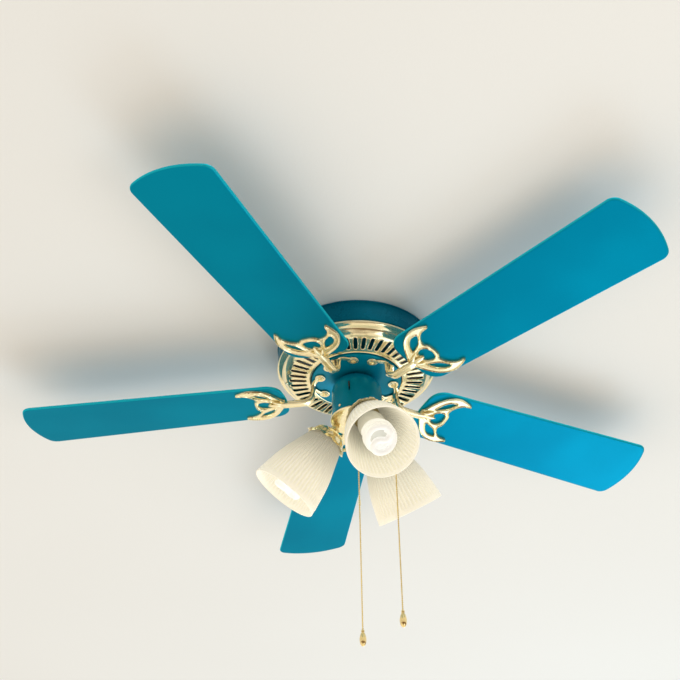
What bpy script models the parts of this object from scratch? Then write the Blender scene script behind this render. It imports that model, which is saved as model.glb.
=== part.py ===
"""Flush ceiling fan with five blades and a three-lamp light kit.

Frame: metres, +Z up, the origin on the rotor's axis at the face that meets the ceiling.
Everything hangs below z = 0. Angles are counted from +X, counter-clockwise seen from above.
"""
import math

import bmesh
import bpy
from mathutils import Matrix, Vector

# ---- fits -------------------------------------------------------------------------------
TOUCH = 0.0003                # gap kept between two pieces that touch
SLIP = 0.0005                 # radial clearance of a piece slipped inside another
RUN = 0.0012                  # clearance between a fixed face and a turning one

# ---- canopy, ceiling plate and vent ring ------------------------------------------------
CANOPY_R = 0.153
CANOPY_H = 0.047
SHEET = 0.0012                # pressed steel thickness
CANOPY_LIP = 0.012            # inward flange at the canopy's lower edge
CANOPY_BEAD = 0.002           # rolled bead at the ceiling
PLATE_THICK = 0.002
PLATE_RIM = 0.010             # depth of the ceiling plate's turned-down rim
BOX_SCREW_SPACING = 0.0889    # ceiling box screws
BOX_SCREW_HOLE_R = 0.0026
WIRE_HOLE_R = 0.008
WIRE_HOLE_X = 0.070
RING_DROP = 0.0267            # height of the brass ring from its upper edge to its inner edge
SLOT_COUNT = 48
SLOT_IN_R = 0.098
SLOT_OUT_R = 0.130
SLOT_HALF_WIDTH = 0.0036
RING_SHEET = 0.0010

# ---- motor ------------------------------------------------------------------------------
FLANGE_R = 0.087              # blade flange of the turning shell
FLANGE_Z = -0.078             # its lower face
FLANGE_THICK = 0.005
RING_CLEAR = 0.0025           # radial gap between the flange and the vent ring
DRUM_R = 0.082
DRUM_TOP_Z = -0.020
DRUM_WALL = 0.003
STATOR_R = 0.062
STATOR_HALF_H = 0.013
STATOR_Z = -0.049
AIR_GAP = 0.0008
SHAFT_R = 0.008
SHAFT_BORE_R = 0.005
SHAFT_END_Z = -0.092
SHAFT_PAD_R = 0.030
SHAFT_PAD_H = 0.004
BEARING_R = 0.014
BEARING_W = 0.008
HUB_R = 0.020

# ---- blades and blade irons -------------------------------------------------------------
BLADES = 5
FIRST_BLADE_DEG = 28.4
PITCH_DEG = 9.8
BLADE_Z = -0.105              # height of the blade's middle plane on the fan's axis
BLADE_TIP_R = 0.661
BLADE_ROOT_R = 0.137
BLADE_THICK = 0.006
BLADE_HALF_W = 0.0658         # half width at the root
BLADE_FLARE = 0.0250          # growth of the half width per metre of length
TIP_ARC_R = 0.174
TIP_CORNER_R = 0.020
ROOT_ARC_R = 0.250
ROOT_CORNER_R = 0.032
IRON_THICK = 0.0045
IRON_BAR_HALF_W = 0.0085
IRON_BAR_HALF_H = 0.0045
IRON_NECK_U = 0.142
IRON_EAR_THICK = 0.003
EAR_U = 0.067                 # ear screw, along the arm
EAR_V = 0.026                 # ear screw, to either side
EAR_R = 0.009
IRON_SCREW_R = 0.002
IRON_SCREW_HEAD_R = 0.0042
IRON_SCREW_HEAD_H = 0.0022
SCREW_BITE = 0.0040           # how far a screw enters the flange

# ---- switch housing ---------------------------------------------------------------------
HOUSING_R = 0.048
HOUSING_TOP_R = 0.024
HOUSING_SHOULDER = 0.026      # height of the rounded shoulder
HOUSING_END_Z = -0.167
CHAIN_R = 0.0016
CHAIN_OFFSET_R = 0.068        # both chains hang this far from the axis
FAN_CHAIN_DEG = 90.0
LIGHT_CHAIN_DEG = -6.0
SPOUT_R = 0.0045
SPOUT_TOP_Z = -0.1345
SPOUT_H = 0.0235
SPOUT_BORE_R = 0.0024
SPOUT_BORE_H = 0.018
CHAIN_INSIDE = 0.015          # chain hidden in the spout, more than the pull
CHAIN_END_Z = -0.556
CHAIN_POINTS = 34
FOB_H = 0.030
FOB_R = 0.0060
CAPACITOR_HALF_W = 0.0160
CAPACITOR_THICK = 0.0150
CAPACITOR_GAP = 0.0040        # least gap to the housing's wall
REVERSE_DEG = -107.0
REVERSE_SLOT_H = 0.020
REVERSE_SLOT_W = 0.0028
REVERSE_SLOT_Z = -0.1190      # middle of the slot
REVERSE_TRAVEL = 0.007

# ---- light kit --------------------------------------------------------------------------
LAMPS = 3
FIRST_LAMP_DEG = -72.4
LAMP_TILT_DEG = 38.6          # shade axis from straight down
PIVOT_SET_IN = 0.00472        # knuckle pin, inwards of the housing's wall
PIVOT_DROP = 0.00905          # knuckle pin below the pan
PIVOT_TO_CROWN = 0.030        # knuckle pin to the rim of the holder's crown
PAN_LIP_R = 0.0512
PAN_BOTTOM_Z = -0.1725
PAN_UPSTAND = 0.0115
EYE_R = 0.006
EYE_HALF_W = 0.003
CHEEK_W = 0.0028
ARM_COLLAR_R = 0.0065
ARM_NIPPLE_R = 0.0030
ARM_SET_IN = 0.0040           # the nipple stands this far nearer the fan's axis than the knuckle
PIN_R = 0.0020
PIN_HEAD_R = 0.0042
HOLDER_BACK = 0.0085          # pivot to the back of the holder's cup
HOLDER_WALL = 0.0015
GLASS = 0.003
SOCKET_R = 0.018
SOCKET_END = 0.043
BULB_CAP_R = 0.0134
BULB_COIL_R = 0.030
BALLAST_END = 0.104           # knuckle pin to the end of the bulb's white cup
BULB_TIP = 0.155

ROUND = 32                    # segments of a large turned piece
SMALL_ROUND = 16
SCREW_SIDES = 8


# ---- general tools ----------------------------------------------------------------------
def clear_scene():
    """Remove every object, so that the file starts empty."""
    for obj in list(bpy.data.objects):
        bpy.data.objects.remove(obj, do_unlink=True)


def make_material(name, color, roughness, metallic=0.0):
    """One Principled material."""
    material = bpy.data.materials.new(name)
    material.use_nodes = True
    shader = material.node_tree.nodes["Principled BSDF"]
    shader.inputs["Base Color"].default_value = (*color, 1.0)
    shader.inputs["Roughness"].default_value = roughness
    shader.inputs["Metallic"].default_value = metallic
    return material


FINISHES = {
    "teal": ((0.0, 0.21, 0.33), 0.32, 0.0),
    "brass": ((0.80, 0.55, 0.20), 0.14, 1.0),
    "steel": ((0.55, 0.55, 0.56), 0.35, 1.0),
    "lamination": ((0.25, 0.25, 0.27), 0.5, 1.0),
    "copper": ((0.72, 0.33, 0.16), 0.3, 1.0),
    "plastic": ((0.86, 0.85, 0.80), 0.4, 0.0),
    "black": ((0.03, 0.03, 0.03), 0.45, 0.0),
    "glass": ((0.90, 0.86, 0.76), 0.45, 0.0),
    "lamp": ((1.0, 1.0, 0.98), 0.3, 0.0),
}


def add_object(name, mesh, finish, parent=None):
    """Put a mesh in the scene as one named piece with a material of its own."""
    obj = bpy.data.objects.new(name, mesh)
    bpy.context.scene.collection.objects.link(obj)
    if not mesh.materials:
        mesh.materials.append(None)
    obj.material_slots[0].link = "OBJECT"
    obj.material_slots[0].material = make_material(name, *FINISHES[finish])
    if parent:
        obj.parent = parent
    return obj


def add_empty(name, matrix):
    """A pivot that pieces are parented to."""
    empty = bpy.data.objects.new(name, None)
    bpy.context.scene.collection.objects.link(empty)
    empty.matrix_world = matrix
    return empty


def finish_mesh(bm, name):
    """Merge, turn the faces outwards, shade smooth with sharp edges."""
    bmesh.ops.remove_doubles(bm, verts=bm.verts, dist=1e-6)
    bmesh.ops.recalc_face_normals(bm, faces=bm.faces)
    mesh = bpy.data.meshes.new(name)
    bm.to_mesh(mesh)
    bm.free()
    mesh.shade_smooth()
    mesh.set_sharp_from_angle(angle=math.radians(35.0))
    return mesh


def turned(name, profile, segments=ROUND, closed=True):
    """Turn a profile of (radius, height) points about Z. An open profile starts and ends on the axis."""
    bm = bmesh.new()
    points = [bm.verts.new((radius, 0.0, height)) for radius, height in profile]
    pairs = list(zip(points, points[1:]))
    if closed:
        pairs.append((points[-1], points[0]))
    edges = [bm.edges.new(pair) for pair in pairs]
    bmesh.ops.spin(bm, geom=points + edges, cent=(0, 0, 0), axis=(0, 0, 1),
                   angle=2 * math.pi, steps=segments, use_merge=True)
    return finish_mesh(bm, name)


def plate(name, outline, bottom, top):
    """A flat plate: an outline in XY pushed up from bottom to top."""
    bm = bmesh.new()
    face = bm.faces.new([bm.verts.new((x, y, bottom)) for x, y in outline])
    raised = bmesh.ops.extrude_face_region(bm, geom=[face])["geom"]
    moved = [item for item in raised if isinstance(item, bmesh.types.BMVert)]
    bmesh.ops.translate(bm, verts=moved, vec=(0, 0, top - bottom))
    return finish_mesh(bm, name)


def rod(name, radius, start, end, segments=SMALL_ROUND):
    """A straight round bar between two points."""
    start, end = Vector(start), Vector(end)
    bm = bmesh.new()
    turn = (end - start).to_track_quat("Z", "Y").to_matrix().to_4x4()
    place = Matrix.Translation((start + end) / 2) @ turn
    bmesh.ops.create_cone(bm, cap_ends=True, segments=segments, radius1=radius, radius2=radius,
                          depth=(end - start).length, matrix=place)
    return finish_mesh(bm, name)


def block(name, low, high):
    """A rectangular block between two corners."""
    low, high = Vector(low), Vector(high)
    bm = bmesh.new()
    size = Matrix.Diagonal((*(high - low), 1.0))
    bmesh.ops.create_cube(bm, size=1.0, matrix=Matrix.Translation((low + high) / 2) @ size)
    return finish_mesh(bm, name)


def swept(name, stations, sides=8):
    """A bar of oval section along stations of (point, direction, half width along Y, half height)."""
    bm = bmesh.new()
    rings = []
    for point, direction, half_w, half_h in stations:
        along = Vector(direction).normalized()
        side = Vector((0, 1, 0))
        up = along.cross(side)
        angles = [2 * math.pi * (i + 0.5) / sides for i in range(sides)]
        ring = [bm.verts.new(Vector(point) + side * half_w * math.cos(a) + up * half_h * math.sin(a))
                for a in angles]
        rings.append([bm.edges.new((ring[i], ring[(i + 1) % sides])) for i in range(sides)])
    for first, second in zip(rings, rings[1:]):
        bmesh.ops.bridge_loops(bm, edges=first + second)
    for ring in (rings[0], rings[-1]):
        bmesh.ops.contextual_create(bm, geom=ring)
    return finish_mesh(bm, name)


def combine(name, base, others, operation="UNION"):
    """Join or cut meshes with exact Booleans and return the result as one mesh."""
    host = bpy.data.objects.new(name + "_base", base)
    bpy.context.scene.collection.objects.link(host)
    helpers = []
    for number, mesh in enumerate(others):
        helper = bpy.data.objects.new(f"{name}_tool_{number}", mesh)
        bpy.context.scene.collection.objects.link(helper)
        modifier = host.modifiers.new(f"step_{number}", "BOOLEAN")
        modifier.operation = operation
        modifier.solver = "EXACT"
        modifier.object = helper
        helpers.append(helper)
    bpy.context.view_layer.update()
    evaluated = host.evaluated_get(bpy.context.evaluated_depsgraph_get())
    result = bpy.data.meshes.new_from_object(evaluated)
    result.name = name
    result.materials.clear()
    for helper in [host] + helpers:
        bpy.data.objects.remove(helper, do_unlink=True)
    result.shade_smooth()
    result.set_sharp_from_angle(angle=math.radians(35.0))
    return result


def upright(mesh, low, high):
    """Stand a plate made between two heights on edge: its Y becomes up and its height runs along Y."""
    mesh.transform(Matrix(((1, 0, 0, 0), (0, 0, -1, low + high), (0, 1, 0, 0), (0, 0, 0, 1))))
    mesh.update()
    return mesh


def moved(mesh, matrix):
    """The same mesh, moved by a matrix."""
    mesh.transform(matrix)
    mesh.update()
    return mesh


def about_z(degrees):
    """A turn about the fan's axis."""
    return Matrix.Rotation(math.radians(degrees), 4, "Z")


def arc(centre, radius, start_deg, end_deg, steps):
    """Points on an arc in the plane, both ends included."""
    angles = [math.radians(start_deg + (end_deg - start_deg) * i / steps) for i in range(steps + 1)]
    return [(centre[0] + radius * math.cos(a), centre[1] + radius * math.sin(a)) for a in angles]


# ---- canopy, ceiling plate and vent ring ------------------------------------------------
RING_TOP_Z = -CANOPY_H - TOUCH
RING_IN_R = FLANGE_R + RING_CLEAR


def make_ceiling_plate():
    """Steel plate with a turned-down rim, two screw holes and a hole for the supply wires."""
    radius = CANOPY_R - SHEET - SLIP
    inner = radius - PLATE_THICK
    profile = [(0.0, 0.0), (radius, 0.0), (radius, -PLATE_RIM), (inner, -PLATE_RIM),
               (inner, -PLATE_THICK), (0.0, -PLATE_THICK)]
    disc = turned("ceiling_plate", profile, closed=False)
    deep = 2 * PLATE_THICK
    half = BOX_SCREW_SPACING / 2
    cutters = [rod("hole", BOX_SCREW_HOLE_R, (0, y, -deep), (0, y, deep), 12) for y in (-half, half)]
    cutters.append(rod("hole", WIRE_HOLE_R, (WIRE_HOLE_X, 0, -deep), (WIRE_HOLE_X, 0, deep), 16))
    add_object("ceiling_plate", combine("ceiling_plate", disc, cutters, "DIFFERENCE"), "steel")


def make_canopy():
    """Painted drum with a rolled bead at the ceiling and an inward lip below."""
    inner = CANOPY_R - SHEET
    bead = CANOPY_R + CANOPY_BEAD
    profile = [(bead, -TOUCH), (bead, -TOUCH - CANOPY_BEAD), (CANOPY_R, -TOUCH - 2 * CANOPY_BEAD),
               (CANOPY_R, -CANOPY_H), (CANOPY_R - CANOPY_LIP, -CANOPY_H),
               (CANOPY_R - CANOPY_LIP, -CANOPY_H + SHEET), (inner, -CANOPY_H + SHEET), (inner, -TOUCH)]
    add_object("canopy", turned("canopy", profile, 48), "teal")


def vent_profile():
    """Outer face of the brass ring, from its upper edge to its inner edge, as (radius, height)."""
    low = RING_TOP_Z - RING_DROP
    return [(CANOPY_R, RING_TOP_Z), (CANOPY_R + 0.001, RING_TOP_Z - 0.005),
            (CANOPY_R - 0.008, RING_TOP_Z - 0.0125),
            (CANOPY_R - 0.0165, RING_TOP_Z - 0.0212), (SLOT_OUT_R, low + 0.0032),
            (SLOT_IN_R, low + 0.0010), (RING_IN_R, low)]


def make_vent_ring():
    """Pressed brass ring: a rolled band and a flat part with radial slots, as one sheet."""
    profile = vent_profile()
    bm = bmesh.new()
    rings = []
    for radius, height in profile:
        half_slot = SLOT_HALF_WIDTH / min(max(radius, SLOT_IN_R), SLOT_OUT_R)
        ring = []
        for slot in range(SLOT_COUNT):
            middle = 2 * math.pi * slot / SLOT_COUNT
            for angle in (middle - half_slot, middle + half_slot):
                ring.append(bm.verts.new((radius * math.cos(angle), radius * math.sin(angle), height)))
        rings.append(ring)
    count = 2 * SLOT_COUNT
    for band, (outer, inner) in enumerate(zip(rings, rings[1:])):
        slotted = profile[band][0] == SLOT_OUT_R
        for i in range(count):
            if slotted and i % 2 == 0:
                continue
            j = (i + 1) % count
            bm.faces.new((outer[i], inner[i], inner[j], outer[j]))
    mesh = bpy.data.meshes.new("vent_ring")
    bm.normal_update()
    bm.to_mesh(mesh)
    bm.free()
    ring_object = add_object("vent_ring", mesh, "brass")
    solid = ring_object.modifiers.new("sheet", "SOLIDIFY")
    solid.thickness = RING_SHEET
    solid.offset = -1.0
    solid.use_even_offset = True


# ---- motor ------------------------------------------------------------------------------
LOWER_BEARING_Z = FLANGE_Z + 0.0012          # lower face of the lower bearing
UPPER_BEARING_Z = DRUM_TOP_Z - 0.0012 - BEARING_W
BORE_R = BEARING_R + TOUCH
SHAFT_HOLE_R = SHAFT_R + RUN
SEAT = 0.0010                                # shoulder that keeps a bearing in its hub


def make_rotor(pivot):
    """Turning shell: blade flange, drum with the cage band inside, and two bearing hubs."""
    flange_top = FLANGE_Z + FLANGE_THICK
    wall_r = DRUM_R - DRUM_WALL
    cage_r = STATOR_R + AIR_GAP
    cage_low = STATOR_Z - STATOR_HALF_H
    cage_high = STATOR_Z + STATOR_HALF_H
    low_hub = LOWER_BEARING_Z + BEARING_W
    high_hub = UPPER_BEARING_Z
    roof = DRUM_TOP_Z - DRUM_WALL
    profile = [(SHAFT_HOLE_R, FLANGE_Z), (FLANGE_R, FLANGE_Z), (FLANGE_R, flange_top),
               (DRUM_R, flange_top), (DRUM_R, DRUM_TOP_Z), (SHAFT_HOLE_R, DRUM_TOP_Z),
               (SHAFT_HOLE_R, DRUM_TOP_Z - SEAT), (BORE_R, DRUM_TOP_Z - SEAT), (BORE_R, high_hub),
               (HUB_R, high_hub), (HUB_R, roof), (wall_r, roof), (wall_r, cage_high + 0.002),
               (cage_r, cage_high), (cage_r, cage_low), (wall_r, cage_low - 0.002),
               (wall_r, flange_top), (HUB_R, flange_top), (HUB_R, low_hub), (BORE_R, low_hub),
               (BORE_R, FLANGE_Z + SEAT), (SHAFT_HOLE_R, FLANGE_Z + SEAT)]
    shell = turned("rotor_shell", profile)
    cutters = []
    for blade in range(BLADES):
        for side in (-1, 1):
            foot = Vector((EAR_U, side * EAR_V, FLANGE_Z))
            foot = about_z(blade_angle(blade)) @ foot
            cutters.append(rod("hole", IRON_SCREW_R + TOUCH, foot - Vector((0, 0, 0.001)),
                               foot + Vector((0, 0, SCREW_BITE + TOUCH)), SCREW_SIDES))
    add_object("rotor_shell", combine("rotor_shell", shell, cutters, "DIFFERENCE"), "teal", pivot)


def make_motor_core():
    """The fixed inside of the motor: shaft, laminated core, winding and the two bearings."""
    pad_top = -PLATE_THICK - TOUCH
    shaft = [(SHAFT_BORE_R, pad_top), (SHAFT_PAD_R, pad_top), (SHAFT_PAD_R, pad_top - SHAFT_PAD_H),
             (SHAFT_R, pad_top - SHAFT_PAD_H), (SHAFT_R, SHAFT_END_Z), (SHAFT_BORE_R, SHAFT_END_Z)]
    add_object("motor_shaft", turned("motor_shaft", shaft, SMALL_ROUND), "steel")
    bore = SHAFT_R + TOUCH
    low, high = STATOR_Z - STATOR_HALF_H, STATOR_Z + STATOR_HALF_H
    core = [(bore, low), (STATOR_R, low), (STATOR_R, high), (bore, high)]
    add_object("stator_core", turned("stator_core", core, 24), "lamination")
    base = high + TOUCH
    coil = [(0.034, base), (0.056, base), (0.057, base + 0.004), (0.052, base + 0.008),
            (0.038, base + 0.008), (0.033, base + 0.004)]
    add_object("stator_winding", turned("stator_winding", coil, 20), "copper")
    for name, z in (("lower_bearing", LOWER_BEARING_Z), ("upper_bearing", UPPER_BEARING_Z)):
        ring = [(bore, z), (BEARING_R, z), (BEARING_R, z + BEARING_W), (bore, z + BEARING_W)]
        add_object(name, turned(name, ring, SMALL_ROUND), "steel")


# ---- blades and irons -------------------------------------------------------------------
IRON_TOP = -BLADE_THICK / 2 - TOUCH          # top of the iron's head below the blade's middle plane
EAR_TOP_Z = FLANGE_Z - TOUCH
TILT = Matrix.Rotation(math.radians(-PITCH_DEG), 4, "X")


def blade_angle(blade):
    """Azimuth of a blade in degrees."""
    return FIRST_BLADE_DEG + blade * 360.0 / BLADES


def blade_outline():
    """Tapered board: arcs across the two ends, rounded corners, straight sides."""
    tip_half = BLADE_HALF_W + BLADE_FLARE * (BLADE_TIP_R - BLADE_ROOT_R)
    tip_centre = BLADE_TIP_R - TIP_ARC_R
    corner_v = tip_half - TIP_CORNER_R
    corner_u = tip_centre + math.sqrt((TIP_ARC_R - TIP_CORNER_R) ** 2 - corner_v ** 2)
    tip_angle = math.degrees(math.atan2(corner_v, corner_u - tip_centre))
    root_centre = BLADE_ROOT_R + ROOT_ARC_R
    root_v = BLADE_HALF_W - ROOT_CORNER_R
    root_u = root_centre - math.sqrt((ROOT_ARC_R - ROOT_CORNER_R) ** 2 - root_v ** 2)
    root_angle = math.degrees(math.atan2(root_v, root_u - root_centre))
    upper = arc((tip_centre, 0), TIP_ARC_R, 0, tip_angle, 3)
    upper += arc((corner_u, corner_v), TIP_CORNER_R, tip_angle, 90, 4)[1:]
    upper += arc((root_u, root_v), ROOT_CORNER_R, 90, root_angle, 5)
    upper += arc((root_centre, 0), ROOT_ARC_R, root_angle, 180, 2)[1:]
    return upper + [(u, -v) for u, v in reversed(upper[1:-1])]


# Half of the iron's head, from its neck round the horn and back along the scallops (u, v).
HEAD_EDGE = [(0.142, 0.0075), (0.149, 0.021), (0.158, 0.038), (0.170, 0.052), (0.184, 0.060),
             (0.206, 0.0605), (0.225, 0.053), (0.222, 0.047), (0.204, 0.045), (0.198, 0.035),
             (0.191, 0.024), (0.195, 0.011), (0.200, 0.004)]
CENTRE_WINDOW = [(0.187, 0.004), (0.182, 0.011), (0.167, 0.009), (0.171, 0.0), (0.167, -0.009),
                 (0.182, -0.011), (0.187, -0.004)]
SIDE_WINDOW = [(0.190, 0.046), (0.186, 0.036), (0.171, 0.028), (0.169, 0.034), (0.178, 0.043)]


def make_iron_mesh():
    """Cast blade iron: a pierced head under the blade, a bar, and a fork with two ears."""
    outline = HEAD_EDGE + [(u, -v) for u, v in reversed(HEAD_EDGE)]
    head = plate("head", outline, IRON_TOP - IRON_THICK, IRON_TOP)
    openings = [CENTRE_WINDOW, SIDE_WINDOW, [(u, -v) for u, v in reversed(SIDE_WINDOW)]]
    deep = 2 * IRON_THICK
    cutters = [plate("window", points, IRON_TOP - deep, IRON_TOP + deep) for points in openings]
    head = moved(combine("head", head, cutters, "DIFFERENCE"), TILT)
    clear_z = IRON_TOP - IRON_BAR_HALF_W * math.sin(math.radians(PITCH_DEG)) - TOUCH
    bar_z = clear_z - IRON_BAR_HALF_H
    rise = EAR_TOP_Z - IRON_EAR_THICK / 2 - BLADE_Z
    half = (IRON_BAR_HALF_W, IRON_BAR_HALF_H)
    stations = [((IRON_NECK_U + 0.012, 0, clear_z - 0.0022), (-1, 0, 0), 0.005, 0.0022),
                ((IRON_NECK_U, 0, bar_z), (-1, 0, 0), 0.0075, IRON_BAR_HALF_H),
                ((0.110, 0, bar_z), (-1, 0, 0), *half), ((0.098, 0, bar_z + 0.002), (-1, 0, 0.4), *half),
                ((0.089, 0, bar_z + 0.010), (-0.6, 0, 1), *half),
                ((0.085, 0, rise), (-0.15, 0, 1), 0.0090, 0.0040)]
    bar = swept("bar", stations)
    ear_outline = [(0.0885, 0.0085)] + arc((EAR_U, EAR_V), EAR_R, 45, 235, 6) + [(0.0735, 0.0085)]
    ear_outline += [(u, -v) for u, v in reversed(ear_outline)]
    low = EAR_TOP_Z - BLADE_Z - IRON_EAR_THICK
    fork = plate("fork", ear_outline, low, low + IRON_EAR_THICK)
    iron = combine("blade_iron", head, [bar, fork])
    holes = [rod("hole", IRON_SCREW_R + TOUCH, (EAR_U, side * EAR_V, low - 0.002),
                 (EAR_U, side * EAR_V, low + 2 * IRON_EAR_THICK), SCREW_SIDES) for side in (-1, 1)]
    return combine("blade_iron", iron, holes, "DIFFERENCE")


def make_screw_mesh(name, head_r, head_h, shank_r, shank_length):
    """A pan-head screw pointing up, its head's seat at z = 0."""
    profile = [(0.0, -head_h), (0.7 * head_r, -head_h), (head_r, -0.4 * head_h), (head_r, 0.0),
               (shank_r, 0.0), (shank_r, shank_length), (0.0, shank_length)]
    return turned(name, profile, SCREW_SIDES, closed=False)


def make_blades(pivot):
    """Five blades, five irons and the irons' ten screws, all on the turning body."""
    blade_mesh = plate("blade", blade_outline(), -BLADE_THICK / 2, BLADE_THICK / 2)
    iron_mesh = make_iron_mesh()
    bite = TOUCH + IRON_EAR_THICK + SCREW_BITE
    screw_mesh = make_screw_mesh("iron_screw", IRON_SCREW_HEAD_R, IRON_SCREW_HEAD_H, IRON_SCREW_R, bite)
    seat_z = EAR_TOP_Z - IRON_EAR_THICK - TOUCH
    for blade in range(BLADES):
        turn = about_z(blade_angle(blade))
        level = Matrix.Translation((0, 0, BLADE_Z))
        board = add_object(f"blade_{blade + 1}", blade_mesh, "teal", pivot)
        board.matrix_basis = turn @ level @ TILT
        iron = add_object(f"blade_iron_{blade + 1}", iron_mesh, "brass", pivot)
        iron.matrix_basis = turn @ level
        for letter, side in (("a", -1), ("b", 1)):
            screw = add_object(f"iron_screw_{blade + 1}{letter}", screw_mesh, "brass", pivot)
            screw.matrix_basis = turn @ Matrix.Translation((EAR_U, side * EAR_V, seat_z))


# ---- switch housing ---------------------------------------------------------------------
HOUSING_TOP_Z = FLANGE_Z - RUN
HOUSING_IN_R = HOUSING_R - SHEET


def make_switch_housing():
    """Painted cup with a rounded shoulder, two spout holes and the reversing switch's slot."""
    shoulder_z = HOUSING_TOP_Z - HOUSING_SHOULDER
    run = HOUSING_R - HOUSING_TOP_R
    steps = 4
    turns = [math.pi / 2 * i / steps for i in range(steps + 1)]
    outer = [(HOUSING_TOP_R + run * math.sin(a), shoulder_z + HOUSING_SHOULDER * math.cos(a)) for a in turns]
    inner = [(HOUSING_TOP_R + (run - SHEET) * math.sin(a),
              shoulder_z + (HOUSING_SHOULDER - SHEET) * math.cos(a)) for a in reversed(turns)]
    hole = SHAFT_R + TOUCH
    profile = [(hole, HOUSING_TOP_Z)] + outer + [(HOUSING_R, HOUSING_END_Z), (HOUSING_IN_R, HOUSING_END_Z)]
    profile += inner + [(hole, HOUSING_TOP_Z - SHEET)]
    shell = turned("switch_housing", profile)
    cutters = []
    for degrees in (FAN_CHAIN_DEG, LIGHT_CHAIN_DEG):
        start, end = (HOUSING_IN_R - 0.005, 0, spout_axis_z()), (HOUSING_R + 0.005, 0, spout_axis_z())
        cutters.append(moved(rod("hole", SPOUT_R + TOUCH, start, end), about_z(degrees)))
    half_w, half_h = REVERSE_SLOT_W / 2, REVERSE_SLOT_H / 2
    slot = block("slot", (HOUSING_IN_R - 0.005, -half_w, REVERSE_SLOT_Z - half_h),
                 (HOUSING_R + 0.005, half_w, REVERSE_SLOT_Z + half_h))
    cutters.append(moved(slot, about_z(REVERSE_DEG)))
    add_object("switch_housing", combine("switch_housing", shell, cutters, "DIFFERENCE"), "teal")


def spout_axis_z():
    """Height of a chain spout's level part."""
    return SPOUT_TOP_Z - SPOUT_R


def make_pull_switch(name, degrees):
    """Pull-chain switch: a case inside the housing and a spout that turns down outside it."""
    z = spout_axis_z()
    case = block("case", (0.016, -0.0100, z - 0.011), (0.036, 0.0100, z + 0.011))
    level = rod("level", SPOUT_R, (0.034, 0, z), (CHAIN_OFFSET_R, 0, z))
    down = rod("down", SPOUT_R + 0.0004, (CHAIN_OFFSET_R, 0, SPOUT_TOP_Z),
               (CHAIN_OFFSET_R, 0, SPOUT_TOP_Z - SPOUT_H))
    body = combine(name, case, [level, down])
    bore_end = SPOUT_TOP_Z - SPOUT_H - 0.002
    bore = rod("bore", SPOUT_BORE_R, (CHAIN_OFFSET_R, 0, bore_end),
               (CHAIN_OFFSET_R, 0, bore_end + 0.002 + SPOUT_BORE_H), 12)
    body = combine(name, body, [bore], "DIFFERENCE")
    switch = add_object(name, body, "brass")
    switch.matrix_world = about_z(degrees)


def make_chain(prefix, degrees):
    """A hanging chain with its fob, moved by the pull: both have their origin in the spout's mouth."""
    mouth_z = SPOUT_TOP_Z - SPOUT_H
    mouth = Matrix.Translation((CHAIN_OFFSET_R, 0, mouth_z))
    pivot = add_empty(prefix + "_pull_pivot", about_z(degrees) @ mouth)
    top = CHAIN_INSIDE
    length = mouth_z + top - CHAIN_END_Z
    curve = bpy.data.curves.new(prefix + "_chain", "CURVE")
    curve.dimensions = "3D"
    curve.bevel_depth = CHAIN_R
    curve.bevel_resolution = 2
    curve.use_fill_caps = True
    spline = curve.splines.new("POLY")
    spline.points.add(CHAIN_POINTS - 1)
    for i, point in enumerate(spline.points):
        point.co = (0.0, 0.0, top - length * i / (CHAIN_POINTS - 1), 1.0)
    chain = bpy.data.objects.new(prefix + "_chain", curve)
    bpy.context.scene.collection.objects.link(chain)
    curve.materials.append(make_material(prefix + "_chain", *FINISHES["brass"]))
    chain.parent = pivot
    fob_top = CHAIN_END_Z - mouth_z - TOUCH
    profile = [(0.0, fob_top), (0.0028, fob_top), (0.0032, fob_top - 0.006), (0.7 * FOB_R, fob_top - 0.009),
               (FOB_R, fob_top - 0.017), (0.85 * FOB_R, fob_top - 0.025), (0.45 * FOB_R, fob_top - FOB_H),
               (0.0, fob_top - FOB_H)]
    add_object(prefix + "_fob", turned(prefix + "_fob", profile, 12, closed=False), "brass", pivot)


def make_small_switch_parts():
    """Capacitor inside the housing, and the reversing switch's slider in its slot."""
    z = spout_axis_z()
    far = math.sqrt(HOUSING_IN_R ** 2 - CAPACITOR_HALF_W ** 2) - CAPACITOR_GAP
    capacitor = block("capacitor", (-far, -CAPACITOR_HALF_W, z - 0.010),
                      (CAPACITOR_THICK - far, CAPACITOR_HALF_W, z + 0.012))
    add_object("capacitor", capacitor, "black")
    half_w = REVERSE_SLOT_W / 2 - TOUCH
    lever_h = REVERSE_SLOT_H - REVERSE_TRAVEL - 0.002
    top = REVERSE_SLOT_Z + REVERSE_SLOT_H / 2 - 0.001
    lever = block("lever", (HOUSING_IN_R - 0.004, -half_w, top - lever_h), (HOUSING_R + 0.0022, half_w, top))
    shoe = block("shoe", (HOUSING_IN_R - 0.006, -0.004, top - lever_h + 0.001),
                 (HOUSING_IN_R - 0.0015, 0.004, top - 0.001))
    slider = add_object("reverse_slider", combine("reverse_slider", lever, [shoe]), "black")
    slider.matrix_world = about_z(REVERSE_DEG)


# ---- light kit --------------------------------------------------------------------------
TILT_ANGLE = math.radians(LAMP_TILT_DEG)
PIVOT_R = HOUSING_R - PIVOT_SET_IN
PIVOT_Z = PAN_BOTTOM_Z - PIVOT_DROP
NIPPLE_LENGTH = 0.006


def lamp_angle(lamp):
    """Azimuth of a lamp in degrees."""
    return FIRST_LAMP_DEG + lamp * 360.0 / LAMPS


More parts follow.
